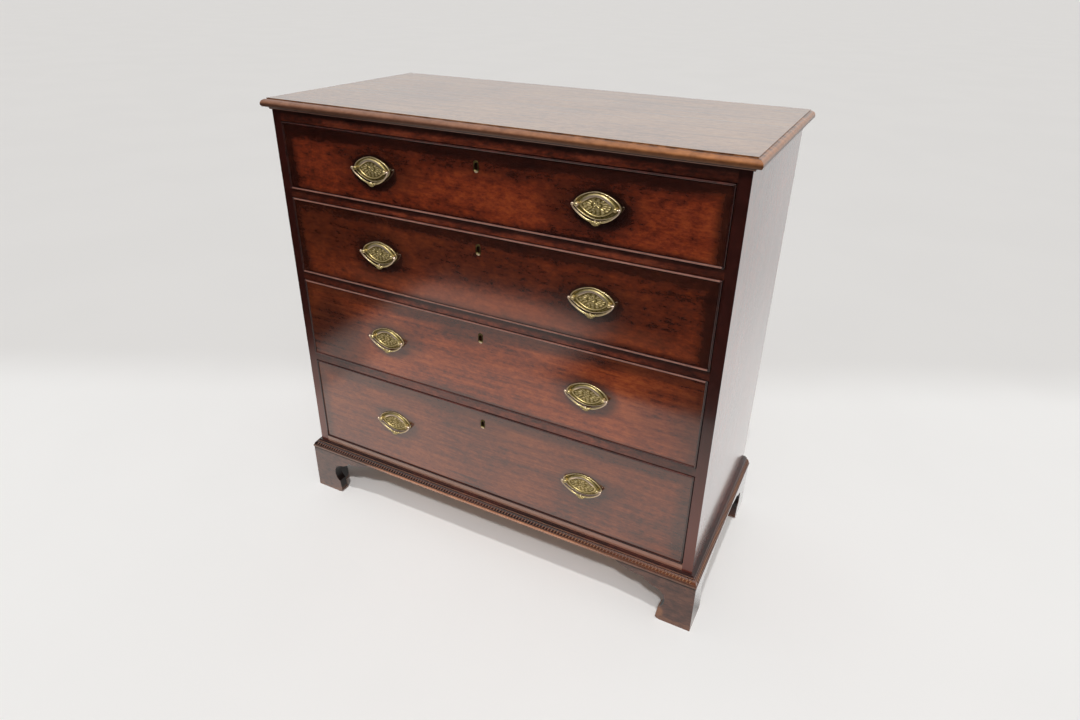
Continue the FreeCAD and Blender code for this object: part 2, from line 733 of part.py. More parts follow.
def make_cock_bead(prefix, rank, section):
    """Four rounded beads let in round a drawer front and mitred at its corners."""
    low = f"({rank}_level + front_bottom_gap)"
    high = f"({rank}_level + {rank}_opening - drawer_top_gap)"
    wide, tall = "2 * drawer_half", f"{high} - {low}"
    runs = (
        ("top_bead", wide, -Z_AXIS, ("drawer_half", high)),
        ("bottom_bead", wide, Z_AXIS, ("-drawer_half", low)),
        ("left_bead", tall, X_AXIS, ("-drawer_half", high)),
        ("right_bead", tall, -X_AXIS, ("drawer_half", low)),
    )
    beads = []
    for name, run, inward, (x, z) in runs:
        bar = extruded(f"{prefix}_{name}_bar", section, run)
        bead = mitred(f"{prefix}_{name}", bar, ("0", run), ("bead_width", f"{run} - bead_width"),
                      "bead_width", "front_lap + bead_proud")
        beads.append(along(bead, inward, -Y_AXIS, x, "lap_plane", z))
    node(group(f"{prefix}_beads", *beads), f"{prefix}_cock_bead")


def make_drawers():
    half_bead = "bead_width / 2"
    shoulder = f"front_lap + bead_proud - {half_bead}"
    bead_section = place(outline("bead_section", [
        ("0", "0"),
        ("bead_width", "0"),
        ("bead_width", shoulder, half_bead, 1),
        (half_bead, "front_lap + bead_proud", half_bead, 1),
        ("0", shoulder),
    ]), "0", "0", "0", ACROSS_RUN)
    keyhole = keyhole_shape()
    escutcheon_blank = escutcheon_shape()
    escutcheon = cut("escutcheon", escutcheon_blank, keyhole)
    plate = handle_plate()
    posts = group("handle_posts", *[piece for x in both_ways("post_half") for piece in handle_post(x)])
    bores = group("handle_bores", *[stem_hole("front_hole", "stem_radius + stem_clearance", x)
                                    for x in both_ways("post_half")])
    bail = handle_bail()

    for (prefix, rank), tails in zip(DRAWERS, TAIL_COUNTS):
        front_high = f"{rank}_level + {rank}_opening - drawer_top_gap"
        handle_height = f"{rank}_level + {rank}_opening / 2"
        if rank == "fourth":
            handle_height += " + low_handle_raise"
        key_height = f"{rank}_level + {rank}_opening - keyhole_drop"
        handle_spots = [(x, "front_plane", handle_height) for x in both_ways("handle_offset")]
        key_spot = ("0", "front_plane", key_height)
        key_way = copy_at(f"{prefix}_key_way", keyhole, *key_spot)
        lock_body = box(f"{prefix}_lock_body", both_ways("lock_width / 2"), ("lock_face", "front_back"),
                        (f"{front_high} - lock_height", front_high))
        holes = [lock_body, key_way, copy_at(f"{prefix}_escutcheon_seat", escutcheon_blank, *key_spot)]
        holes += [copy_at(f"{prefix}_bores", bores, *spot) for spot in handle_spots]
        make_drawer_box(prefix, rank, tails, holes)
        make_cock_bead(prefix, rank, bead_section)

        bolt = box(f"{prefix}_bolt", both_ways("bolt_width / 2"), ("bolt_face", "bolt_face + bolt_thickness"),
                   (f"{front_high} - bolt_height", front_high))
        bolt_way = box(f"{prefix}_bolt_way", both_ways("bolt_width / 2 + bolt_clearance"),
                       ("bolt_face - bolt_clearance", "bolt_face + bolt_thickness + bolt_clearance"),
                       (f"{front_high} - bolt_height", f"{front_high} + overrun"))
        node(cut(f"{prefix}_lock_case", lock_body, bolt_way, key_way), f"{prefix}_lock")
        node(bolt, f"{prefix}_lock_bolt")
        plates = [copy_at(f"{prefix}_plate", plate, *spot) for spot in handle_spots]
        node(group(f"{prefix}_brass", *plates, copy_at(f"{prefix}_key_plate", escutcheon, *key_spot)),
             f"{prefix}_brasses")
        post_sets = [copy_at(f"{prefix}_posts", posts, *spot) for spot in handle_spots]
        node(group(f"{prefix}_post_sets", *post_sets), f"{prefix}_handle_posts")
        for (x, y, z), hand in zip(handle_spots, ("left", "right")):
            bow = copy_at(f"{prefix}_{hand}_bow", bail, x, f"{y} - pivot_standoff", z)
            node(bow, f"{prefix}_{hand}_bail")


make_top()
make_sides()
make_rails()
make_divisions()
make_stops()
make_back()
make_base_moulding()
make_feet()
make_drawers()
doc.recompute()

faults = [item.Label for item in doc.Objects if "Invalid" in item.State or "Error" in item.State]
faults += [item.Label for item in nodes if item.Shape.isNull() or not item.Shape.isValid()]
if faults:
    raise RuntimeError("failed objects: " + ", ".join(faults))
os.makedirs("parts", exist_ok=True)
for item in nodes:
    item.Shape.exportStep(f"parts/{item.Label}.step")
print(len(nodes), "sub-parts written")
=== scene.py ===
import json
import math
from collections import namedtuple

import bpy
from mathutils import Matrix, Vector


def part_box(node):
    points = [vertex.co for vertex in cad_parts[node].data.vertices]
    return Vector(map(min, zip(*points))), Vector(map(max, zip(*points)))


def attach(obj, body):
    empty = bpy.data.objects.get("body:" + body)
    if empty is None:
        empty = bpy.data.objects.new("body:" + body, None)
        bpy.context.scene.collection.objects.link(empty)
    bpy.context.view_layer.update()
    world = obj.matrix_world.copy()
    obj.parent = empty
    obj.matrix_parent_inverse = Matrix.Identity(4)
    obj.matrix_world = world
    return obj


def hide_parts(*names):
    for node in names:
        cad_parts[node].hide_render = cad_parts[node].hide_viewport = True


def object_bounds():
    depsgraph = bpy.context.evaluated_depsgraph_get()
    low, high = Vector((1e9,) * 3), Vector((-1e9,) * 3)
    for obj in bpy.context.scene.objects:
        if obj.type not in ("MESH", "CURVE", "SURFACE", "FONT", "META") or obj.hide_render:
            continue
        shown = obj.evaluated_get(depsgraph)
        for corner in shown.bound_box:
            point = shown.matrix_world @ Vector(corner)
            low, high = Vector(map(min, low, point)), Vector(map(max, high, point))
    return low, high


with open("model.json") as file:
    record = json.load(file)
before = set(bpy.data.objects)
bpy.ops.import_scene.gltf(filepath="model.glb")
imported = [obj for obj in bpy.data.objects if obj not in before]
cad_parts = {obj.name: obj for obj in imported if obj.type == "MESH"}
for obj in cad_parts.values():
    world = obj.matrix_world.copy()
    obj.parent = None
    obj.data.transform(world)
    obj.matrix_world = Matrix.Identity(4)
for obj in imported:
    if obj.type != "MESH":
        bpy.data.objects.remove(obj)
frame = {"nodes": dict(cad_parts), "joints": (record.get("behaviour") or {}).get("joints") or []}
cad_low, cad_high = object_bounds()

# Lengths are metres, or millimetres in the meshes made here. The front faces -Y and the floor is Z = 0.
MM = 0.001
TOP = cad_high[2]
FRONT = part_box("left_side")[0].y
CARCASS_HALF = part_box("right_side")[1].x
FOOT_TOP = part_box("front_left_foot")[1].z
FOOT_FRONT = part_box("front_left_foot")[0].y
FOOT_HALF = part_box("front_right_foot")[1].x
BEAD_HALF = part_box("drawer_1_cock_bead")[1].x
BEAD_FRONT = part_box("drawer_1_cock_bead")[0].y
DRAWERS = ("drawer_1", "drawer_2", "drawer_3", "drawer_4")
HANDS = ("left", "right")
JOINTS = {joint["name"]: joint for joint in frame["joints"]}
FRONT_PLAY, KEYHOLE_DROP = 0.0012, 0.031


def pivot(drawer, hand):
    """The middle of the line that a bail turns about."""
    return Vector(JOINTS[f"{drawer}_{hand}_swing"]["pos_m"])


def key_height(drawer):
    """Where a drawer's keyhole is, above the floor: below the top of the opening, which clears the front."""
    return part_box(f"{drawer}_front")[1].z + FRONT_PLAY - KEYHOLE_DROP


# Camera: the photograph's own frame is 1080 by 720 pixels.
PHOTO_WIDTH, PHOTO_HEIGHT = 1080, 720
FOCAL_PX = 707.07
CENTRE_PX = (543.5, 335.89)
CAMERA_PLACE = Vector((0.6148, -1.1686, 1.0879))
CAMERA_LOOK = Vector((-0.4010, 0.7935, -0.4577)).normalized()
CAMERA_UP = Vector((-0.2236, 0.3998, 0.8889))
SENSOR_MM = 36.0
CLIP_START = 0.01


def make_camera():
    """The photograph's camera, whose line of sight is off the frame's middle."""
    camera = bpy.data.cameras.new("photo_camera")
    camera.sensor_fit = "HORIZONTAL"
    camera.sensor_width = SENSOR_MM
    camera.lens = FOCAL_PX / PHOTO_WIDTH * SENSOR_MM
    camera.shift_x = (PHOTO_WIDTH / 2 - CENTRE_PX[0]) / PHOTO_WIDTH
    camera.shift_y = (CENTRE_PX[1] - PHOTO_HEIGHT / 2) / PHOTO_WIDTH
    camera.clip_start = CLIP_START
    right = CAMERA_LOOK.cross(CAMERA_UP).normalized()
    up = right.cross(CAMERA_LOOK)
    turn = Matrix((right, up, -CAMERA_LOOK)).transposed().to_4x4()
    holder = bpy.data.objects.new("photo_camera", camera)
    holder.matrix_world = Matrix.Translation(CAMERA_PLACE) @ turn
    bpy.context.scene.collection.objects.link(holder)
    bpy.context.scene.camera = holder


# Shader nodes. A Mix node's sockets go by number, because its kinds of value share their names.
MIX_FACTOR = 0
MIX_VALUES, MIX_VALUE_OUT = (2, 3), 0
MIX_COLOURS, MIX_COLOUR_OUT = (6, 7), 2


def paint(red, green, blue):
    """A colour as a screen shows it, 0 to 255, as the linear colour that a shader takes."""
    parts = [part / 255 for part in (red, green, blue)]
    linear = [part / 12.92 if part <= 0.04045 else ((part + 0.055) / 1.055) ** 2.4 for part in parts]
    return (*linear, 1.0)


class Graph:
    """The shader nodes of a material or the world. Most calls add nodes and give the last one's output."""

    def __init__(self, owner):
        owner.use_nodes = True
        self.tree = owner.node_tree
        self.tree.nodes.clear()

    def add(self, kind, sockets, **settings):
        """A node with its settings, and a value or a link for each of the sockets named."""
        node = self.tree.nodes.new("ShaderNode" + kind)
        for name, setting in settings.items():
            setattr(node, name, setting)
        for socket, feed in sockets.items():
            if isinstance(feed, bpy.types.NodeSocket):
                self.tree.links.new(feed, node.inputs[socket])
            else:
                node.inputs[socket].default_value = feed
        return node

    def math(self, operation, first, second=0.0, clamp=False):
        node = self.add("Math", {0: first, 1: second}, operation=operation, use_clamp=clamp)
        return node.outputs[0]

    def chain(self, operation, first, *others):
        """One operation over all the values, from the first to the last."""
        for other in others:
            first = self.math(operation, first, other)
        return first

    def plus(self, *values):
        return self.chain("ADD", *values)

    def minus(self, first, second):
        return self.math("SUBTRACT", first, second)

    def times(self, *values):
        return self.chain("MULTIPLY", *values)

    def most(self, *values):
        return self.chain("MAXIMUM", *values)

    def size(self, value):
        """The value without its sign."""
        return self.math("ABSOLUTE", value)

    def span(self, value, start, full):
        """0 at start, 1 at full and a smooth rise between them, whichever is the larger."""
        sockets = {"Value": value, "From Min": start, "From Max": full}
        return self.add("MapRange", sockets, interpolation_type="SMOOTHSTEP").outputs["Result"]

    def noise(self, vector, scale, shift, detail=3.0, roughness=0.5, distortion=0.0):
        """Noise about a half, of a fineness along each axis."""
        placed = self.add("Mapping", {"Vector": vector, "Scale": scale, "Location": shift}).outputs[0]
        sockets = {"Vector": placed, "Scale": 1.0, "Detail": detail, "Roughness": roughness,
                   "Distortion": distortion}
        return self.add("TexNoise", sockets).outputs["Fac"]

    def choose(self, factor, first, second):
        """The first value at factor 0, the second at 1."""
        sockets = dict(zip((MIX_FACTOR, *MIX_VALUES), (factor, first, second)))
        return self.add("Mix", sockets).outputs[MIX_VALUE_OUT]

    def blend(self, factor, first, second, mode="MIX"):
        """The first colour at factor 0, the second at 1."""
        sockets = dict(zip((MIX_FACTOR, *MIX_COLOURS), (factor, first, second)))
        return self.add("Mix", sockets, data_type="RGBA", blend_type=mode).outputs[MIX_COLOUR_OUT]

    def ramp(self, factor, *stops):
        """A colour that runs through the stops, each of them a position and a colour."""
        node = self.add("ValToRGB", {"Fac": factor})
        elements = node.color_ramp.elements
        elements.remove(elements[-1])
        for index, (position, colour) in enumerate(stops):
            element = elements[0] if index == 0 else elements.new(position)
            element.position = position
            element.color = colour
        return node.outputs["Color"]

    def place(self):
        """The point of the surface in its object's own frame, for a CAD node the chest's frame at rest."""
        return self.add("TexCoord", {}).outputs["Object"]

    def parts(self, vector):
        """The x, y and z of a vector."""
        return tuple(self.add("SeparateXYZ", {0: vector}).outputs)

    def lift(self):
        """What the mesh says of the point, 0 to 1: how far it stands out, its wear and its painted highlights
        and shade.
        """
        return self.add("Attribute", {}, attribute_name="lift").outputs["Fac"]

    def bump(self, height, strength, distance, normal=None):
        """A normal that a height bends, over another normal where there is one."""
        sockets = {"Height": height, "Strength": strength, "Distance": distance}
        if normal:
            sockets["Normal"] = normal
        return self.add("Bump", sockets).outputs["Normal"]

    def surface(self, shader):
        self.add("OutputMaterial", {"Surface": shader})


# Wood
GRAIN = {"x": (1, 18, 18), "y": (18, 1, 18), "z": (18, 18, 1), "level": (1, 1, 18)}
SHELLAC = {"Coat Weight": 1.0, "Coat Roughness": 0.13, "Coat IOR": 1.6, "Specular IOR Level": 0.25}
POLISH = {"Coat Weight": 1.0, "Coat Roughness": 0.09, "Coat IOR": 1.85, "Specular IOR Level": 0.15}
DRY = {"Coat Weight": 0.0}
WAXED = {"Coat Weight": 0.0, "Specular IOR Level": 0.3}
WOOD_IOR = 1.5
SEED_SHIFT = (1.37, 2.11, 0.73)
TONE_STOPS = (0.38, 0.5, 0.62)
PORE_EDGE, PORE_DEPTH = (0.56, 0.7), 0.3
GLOSS_RANGE = 0.22

# Reliefs: the strength of the bump and its depth.
PORE_RELIEF, SWELL_RELIEF = (0.12, 0.0004), (0.05, 0.004)

# Noise in the wood: its fineness, how far it is drawn out along the grain, 0 to 1, then its detail,
# roughness and distortion. The fineness of the streaks is the figure's.
STREAKS = (1, 6.0, 0.62, 0.6)
MOTTLE, FLECKS = (52, 0.2, 4.0, 0.65, 0.2), (110, 0.3, 3.0, 0.7)
CLOUDS, PORES, SWELL = (8, 0, 3.0), (120, 1, 2.0), (14, 0, 2.0)

# Figure: how fine the streaks are, then the shares of streaks, mottle and clouds in the tone.
Figure = namedtuple("Figure", "fineness streaks mottle clouds")
MOTTLED = Figure(3.2, 0.3, 0.4, 0.3)
STRAIGHT = Figure(6.5, 0.5, 0.22, 0.28)
FLECK_SHARE = 0.35

# Spot: a point of a wooden surface, with the mottle and the clouds of the wood there, 0 to 1.
Spot = namedtuple("Spot", "x y z mottle clouds")


def wood(name, grain, tones, seed, finish, roughness, shade=None, bare=None, figure=MOTTLED):
    """Wood of a figure, with pores, what shade makes of its colour and no coat where it is bare."""
    material = bpy.data.materials.new(name)
    g = Graph(material)
    vector = g.place()
    shift = [seed * part for part in SEED_SHIFT]

    def field(fineness, draw, *settings):
        """Noise that is drawn out along the grain: not at all for draw 0, fully for draw 1."""
        return g.noise(vector, [fineness * part ** draw for part in GRAIN[grain]], shift, *settings)

    streaks = field(figure.fineness, *STREAKS)
    mottle = field(*MOTTLE)
    flecks = field(*FLECKS)
    clouds = field(*CLOUDS)
    pores = g.span(field(*PORES), *PORE_EDGE)
    tone = g.plus(g.times(streaks, figure.streaks), g.times(mottle, figure.mottle),
                  g.times(clouds, figure.clouds), g.times(g.minus(flecks, 0.5), FLECK_SHARE))
    colour = g.ramp(tone, *zip(TONE_STOPS, tones))
    colour = g.blend(g.times(pores, PORE_DEPTH), colour, tones[0], "MULTIPLY")
    spot = Spot(*g.parts(vector), mottle, clouds)
    if shade:
        colour = shade(g, spot, colour)
    gloss = g.plus(g.times(streaks, GLOSS_RANGE), roughness - GLOSS_RANGE / 2)
    relief = g.bump(clouds, *SWELL_RELIEF, g.bump(pores, *PORE_RELIEF))
    sockets = {"Base Color": colour, "Roughness": gloss, "Normal": relief, "IOR": WOOD_IOR, **finish}
    if finish["Coat Weight"]:
        sockets["Coat Normal"] = g.bump(field(*SWELL), *SWELL_RELIEF)
    if bare:
        sockets["Coat Weight"] = g.minus(1.0, bare(g, spot))
    g.surface(g.add("BsdfPrincipled", sockets).outputs[0])
    return material


# Tones of each wood: dark, middle and light.
MAHOGANY = (paint(60, 20, 10), paint(104, 38, 15), paint(132, 56, 22))
RAIL_MAHOGANY = (paint(46, 15, 8), paint(90, 34, 17), paint(122, 54, 30))
DARK_MAHOGANY = (paint(20, 7, 6), paint(44, 15, 10), paint(70, 26, 15))
TOP_MAHOGANY = (paint(100, 60, 34), paint(138, 94, 58), paint(162, 120, 80))
FOOT_MAHOGANY = (paint(44, 22, 16), paint(76, 42, 32), paint(100, 60, 44))
BEAD_MAHOGANY = (paint(30, 9, 7), paint(56, 19, 13), paint(88, 36, 25))
OAK = (paint(106, 74, 42), paint(146, 108, 66), paint(172, 134, 88))
PINE = (paint(92, 62, 38), paint(128, 92, 58), paint(150, 114, 76))
# The dark tint of patina, and of the painted shade that darken lays on by default.
PATINA_AND_SHADE = paint(26, 9, 7)
FADED = paint(172, 92, 58)

# Patch: its middle, across and above the handles, its half sizes and how dark it is, or below 0 how faded.
Patch = namedtuple("Patch", "x above half_x half_z depth")

# Front: a drawer front's tones and figure, how dirty its edges are, and its patches.
Front = namedtuple("Front", "tones figure dirt patches")
FRONTS = {
    "drawer_1": Front((paint(64, 22, 10), paint(108, 39, 15), paint(136, 58, 22)), MOTTLED, 1.0, (
        Patch(-0.195, 0.008, 0.085, 0.05, 0.8),
        Patch(0.2, 0.003, 0.08, 0.05, 0.8),
        Patch(0.04, 0.047, 0.26, 0.03, 0.7))),
    "drawer_2": Front((paint(58, 21, 10), paint(98, 37, 14), paint(124, 54, 20)), MOTTLED, 0.9, (
        Patch(-0.21, 0.003, 0.075, 0.05, 0.9),
        Patch(-0.04, 0.021, 0.2, 0.045, 0.5),
        Patch(0.215, -0.004, 0.08, 0.05, 0.8),
        Patch(0.31, 0.001, 0.06, 0.05, 0.3),
        Patch(-0.35, 0.031, 0.1, 0.07, 0.6),
        Patch(0.03, -0.053, 0.3, 0.024, -0.25))),
    "drawer_3": Front((paint(80, 29, 12), paint(128, 53, 20), paint(154, 73, 30)), STRAIGHT, 0.75, (
        Patch(-0.36, -0.0105, 0.1, 0.09, 0.85),
        Patch(-0.21, -0.0005, 0.065, 0.04, 0.8),
        Patch(0.217, -0.0035, 0.06, 0.036, 0.75),
        Patch(-0.03, 0.0565, 0.06, 0.02, 0.6),
        Patch(0.37, 0.0095, 0.1, 0.1, 0.35),
        Patch(0.44, -0.0005, 0.09, 0.12, 0.75))),
    "drawer_4": Front((paint(70, 28, 14), paint(110, 48, 21), paint(134, 66, 31)), STRAIGHT, 0.6, (
        Patch(-0.213, -0.0025, 0.06, 0.036, 0.6),
        Patch(0.217, -0.0045, 0.06, 0.036, 0.6),
        Patch(0.01, 0.0545, 0.08, 0.03, 0.3)))}


def darken(g, colour, mask, amount, tint=PATINA_AND_SHADE):
    """The colour with a tint over it, by an amount where the mask is 1."""
    return g.blend(g.math("MULTIPLY", mask, amount, True), colour, tint)


# In the shades below a pair of numbers says where a tone starts and where it is full, as Graph.span takes
# them. A pair named HALF has half sizes, across and up.
BEHIND_FACE = (FRONT + 0.0004, FRONT + 0.0012)
# Painted warm light: colours turn warmer towards the chest's right end, as the light there is warmer.
WARM_LIGHT_END = (-0.1, 0.4)


def behind_face(g, spot):
    """1 behind the plane of the drawers' fronts, 0 on what shows with the drawers shut."""
    return g.span(spot.y, *BEHIND_FACE)


def reach_from(g, spot, middle_x, middle_z, half_x, half_z):
    """How far a spot of a front is from a middle, in half sizes."""
    across = g.math("DIVIDE", g.minus(spot.x, middle_x), half_x)
    upward = g.math("DIVIDE", g.minus(spot.z, middle_z), half_z)
    return g.math("SQRT", g.plus(g.times(across, across), g.times(upward, upward)))


# Dirt on the drawers' fronts: along the edges and in patches; dirt and a painted shadow round the handles;
# painted shade in the keyholes. The reach of the last three is counted in half sizes.
END_DIRT, TOP_DIRT, FOOT_DIRT = (0.034, 0.012), (0.036, 0.015), (0.014, 0.002)
PATCH_REACH, HALO_REACH, KEYHOLE_REACH = (1.5, 0.4), (1.4, 0.9), (1.1, 0.9)
WANDER, EDGE_WANDER, PATCH_WANDER = 0.06, 0.25, 14
# Round the handles the dark is dirt and a painted shadow, set to the right and below.
HALO_RIGHT, HALO_DROP, HALO_HALF, HALO_DIRT_AND_SHADOW = 0.004, 0.005, (0.047, 0.031), 1.1
KEYHOLE_HALF = (0.006, 0.011)
DIRT_AND_SHADE_DEPTH = 0.88


def drawer_front_shade(drawer, dirt, patches):
    """Dark patina along a front's edges and in soft patches, dirt and a painted shadow round its handles,
    painted shade in its keyhole.
    """
    low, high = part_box(f"{drawer}_front")

    def shade(g, spot, colour):
        wander = g.times(g.minus(spot.clouds, 0.5), WANDER)
        shake = g.times(wander, EDGE_WANDER)
        from_end = g.plus(g.minus(high.x, g.size(spot.x)), shake)
        from_top = g.plus(g.minus(high.z, spot.z), shake)
        from_foot = g.plus(g.minus(spot.z, low.z), shake)
        dark = g.times(g.most(g.span(from_end, *END_DIRT), g.span(from_top, *TOP_DIRT),
                              g.span(from_foot, *FOOT_DIRT)), dirt)
        faded = 0.0
        for patch in patches:
            middle_z = pivot(drawer, "left").z + patch.above
            reach = reach_from(g, spot, patch.x, middle_z, patch.half_x, patch.half_z)
            reach = g.plus(reach, g.times(wander, PATCH_WANDER))
            near = g.times(g.span(reach, *PATCH_REACH), abs(patch.depth))
            if patch.depth < 0:
                faded = g.most(faded, near)
            else:
                dark = g.most(dark, near)
        # Dirt and a painted shadow round each handle.
        for hand in HANDS:
            middle = pivot(drawer, hand)
            reach = reach_from(g, spot, middle.x + HALO_RIGHT, middle.z - HALO_DROP, *HALO_HALF)
            dark = g.most(dark, g.times(g.span(reach, *HALO_REACH), HALO_DIRT_AND_SHADOW * dirt))
        dark = g.times(dark, g.minus(1.0, behind_face(g, spot)))
        # Painted shade in the keyhole's bore, behind the face as well.
        reach = reach_from(g, spot, 0.0, key_height(drawer), *KEYHOLE_HALF)
        dark = g.most(dark, g.span(reach, *KEYHOLE_REACH))
        return darken(g, darken(g, colour, faded, 1.0, FADED), dark, DIRT_AND_SHADE_DEPTH)

    return shade


PALE_BEADS_LOW, PALE_BEADS_HIGH, LOWEST_BEAD = (0.42, 0.5), (0.82, 0.74), (0.16, 0.15)
BEAD_UPRIGHT = (BEAD_HALF - 0.0045, BEAD_HALF - 0.0033)
BEAD_FACE = (BEAD_FRONT + 0.0011, BEAD_FRONT + 0.0004)


def bead_shade(g, spot, colour):
    """Cock beads: painted shade up the ends and along the lowest, and a pale line of wear and painted
    highlight along the middle drawers.
    """
    upright = g.span(g.size(spot.x), *BEAD_UPRIGHT)
    # The pale line along the middle drawers' beads is wear and a painted highlight, on the beads' fronts
    # only.
    pale = g.times(g.span(spot.z, *PALE_BEADS_LOW), g.span(spot.z, *PALE_BEADS_HIGH),
                   g.minus(1.0, upright), g.span(spot.y, *BEAD_FACE))
    # Painted shade up the upright beads and along the lowest.
    colour = darken(g, colour, g.most(upright, g.span(spot.z, *LOWEST_BEAD)), 0.6)
    wear_and_highlight = g.blend(spot.mottle, paint(96, 46, 36), paint(176, 126, 108))
    return g.blend(g.times(pale, 0.8), colour, wear_and_highlight)


def bead_bare(g, spot):
    """Cock beads have no coat behind the fronts, and little of it along the lowest."""
    return g.most(behind_face(g, spot), g.times(g.span(spot.z, *LOWEST_BEAD), 0.75))


# Levels on the top's edge, as lengths below its flat.
NOSE, NOSE_WORN, NOSE_DARK = (0.0008, 0.002), (0.0065, 0.0105), (0.0062, 0.0104)
QUIRK_LOW, QUIRK_HIGH = (0.0032, 0.0024), (0.0004, 0.0014)
COVE, LIP = (0.0138, 0.0158), (0.0178, 0.0188)
LIP_FRONT = (FRONT - 0.003, FRONT - 0.0036)
QUIRK_RUN, QUIRK_BREAK = (-0.3, 0.4), (0.62, 0.42)

# The streaks on the top's flat: the scale, shift, detail, roughness and distortion of their noise.
TOP_STREAKS, TOP_STREAK_EDGE = ((3, 60, 1), (4, 9, 2), 4.0, 0.6, 0.4), (0.52, 0.68)


def worn_nose(g, spot):
    """How bare of polish the top's nose is: half at its upper part and nearly all below."""
    below = g.minus(TOP, spot.z)
    share = g.plus(g.times(g.span(below, *NOSE_WORN), 0.4), 0.5)
    return g.times(g.span(below, *NOSE), share)


def top_shade(g, spot, colour):
    """The top's faded flat, its worn nose with painted shade below, dirt and painted shade in its quirk,
    painted shade in its cove and a painted highlight on its lip.
    """
    below = g.minus(TOP, spot.z)
    streak = g.noise(g.place(), *TOP_STREAKS)
    colour = darken(g, colour, g.span(streak, *TOP_STREAK_EDGE), 0.5, paint(84, 50, 30))
    # The nose turns warmer to the right in painted warm light.
    nose = g.blend(g.span(spot.x, *WARM_LIGHT_END), paint(166, 120, 96), paint(204, 134, 80))
    nose = g.blend(spot.mottle, paint(88, 50, 30), nose)
    # Painted shade on the nose's lower half.
    nose = darken(g, nose, g.span(below, *NOSE_DARK), 0.72)
    colour = g.blend(g.span(below, *NOSE), colour, nose)
    # The quirk holds dirt and painted shade, the cove painted shade.
    broken = g.times(g.span(spot.mottle, *QUIRK_BREAK), g.span(spot.x, *QUIRK_RUN))
    quirk = g.times(g.span(below, *QUIRK_LOW), g.span(below, *QUIRK_HIGH),
                    g.plus(g.times(broken, 0.6), 0.15))
    colour = darken(g, colour, g.most(quirk, g.span(below, *COVE)), DIRT_AND_SHADE_DEPTH)
    # A painted highlight along the lip under the nose.
    lip = g.times(g.span(below, *LIP), g.span(spot.y, *LIP_FRONT))
    return darken(g, colour, lip, 0.9, paint(188, 140, 122))


# Levels on the base moulding, as lengths above the feet, and the stretches of its run.
FASCIA = (0.0054, 0.0046)
BASE_BEAD_LOW, BASE_BEAD_HIGH = (0.0136, 0.0144), (0.0162, 0.0154)
BASE_BAND_LOW, BASE_BAND_HIGH = (0.005, 0.0062), (0.0134, 0.0126)
FASCIA_LEFT, FASCIA_RIGHT, BASE_BAND_RUN = (-0.34, -0.2), (0.36, 0.16), (0.1, 0.4)


def base_shade(g, spot, colour):
    """A fascia that is worn along the middle of its run, a paler bead and a warm right end between, in
    painted warm light.
    """
    height = g.minus(spot.z, FOOT_TOP)
    wear_and_highlight = g.blend(spot.mottle, paint(142, 86, 60), paint(204, 146, 110))
    run = g.times(g.span(spot.x, *FASCIA_LEFT), g.span(spot.x, *FASCIA_RIGHT))
    fascia = g.times(g.span(height, *FASCIA), g.plus(g.times(run, 0.75), 0.2))
    bead = g.times(g.span(height, *BASE_BEAD_LOW), g.span(height, *BASE_BEAD_HIGH), 0.5)
    band = g.times(g.span(height, *BASE_BAND_LOW), g.span(height, *BASE_BAND_HIGH),
                   g.span(spot.x, *BASE_BAND_RUN), 0.7)
    # The band's right end is warmer in painted warm light.
    colour = g.blend(band, colour, paint(120, 68, 40))
    return g.blend(g.most(fascia, bead), colour, wear_and_highlight)


CARVING_WARM, CARVING_BACK = (0.3, 0.6), (0.3, 0.9)


def carving_shade(g, spot, colour):
    """Ticks with a painted highlight on their backs and painted shade down their sides, in place of the
    wood's own colour.
    """
    # The ticks' backs turn warmer to the right in painted warm light.
    warm = g.times(g.span(spot.x, *WARM_LIGHT_END), g.span(spot.clouds, *CARVING_WARM))
    wear_and_highlight = g.blend(warm, paint(118, 84, 70), paint(146, 100, 68))
    # Painted highlight on the ticks' backs, painted shade down their sides.
    return g.blend(g.span(g.lift(), *CARVING_BACK), paint(44, 25, 19), wear_and_highlight)


# Places on the feet. The chipped toe is the front right foot's.
FOOT_INSIDE_FRONT = (FOOT_FRONT + 0.0006, FOOT_FRONT + 0.0018)
FOOT_INSIDE_END = (FOOT_HALF - 0.0006, FOOT_HALF - 0.0018)
FOOT_SHADOW_GAP = (FOOT_TOP - 0.004, FOOT_TOP - 0.0022)
FRONT_FEET, REAR_BRACKETS, RIGHT_FEET = (0.0, -0.1), (0.165, 0.176), (-0.1, 0.1)
SOLE, SOLE_WANDER, TOE = (0.0, -0.012), -0.03, (0.036, 0.014)
CHIP_X, CHIP_Z, CHIP_HALF, CHIP_REACH = 0.386, 0.02, (0.012, 0.014), (1.2, 0.6)


def foot_cut(g, spot):
    """1 on a foot's sawn and inner faces, 0 on its two show faces."""
    return g.times(g.span(spot.y, *FOOT_INSIDE_FRONT), g.span(g.size(spot.x), *FOOT_INSIDE_END))


def foot_shadow_gap(g, spot):
    """1 in the painted shadow line between a foot and the moulding above it."""
    return g.span(spot.z, *FOOT_SHADOW_GAP)


def foot_bare(g, spot):
    """Where a foot has no coat: on its cut faces and in the painted shadow line under the moulding."""
    return g.most(foot_cut(g, spot), foot_shadow_gap(g, spot))


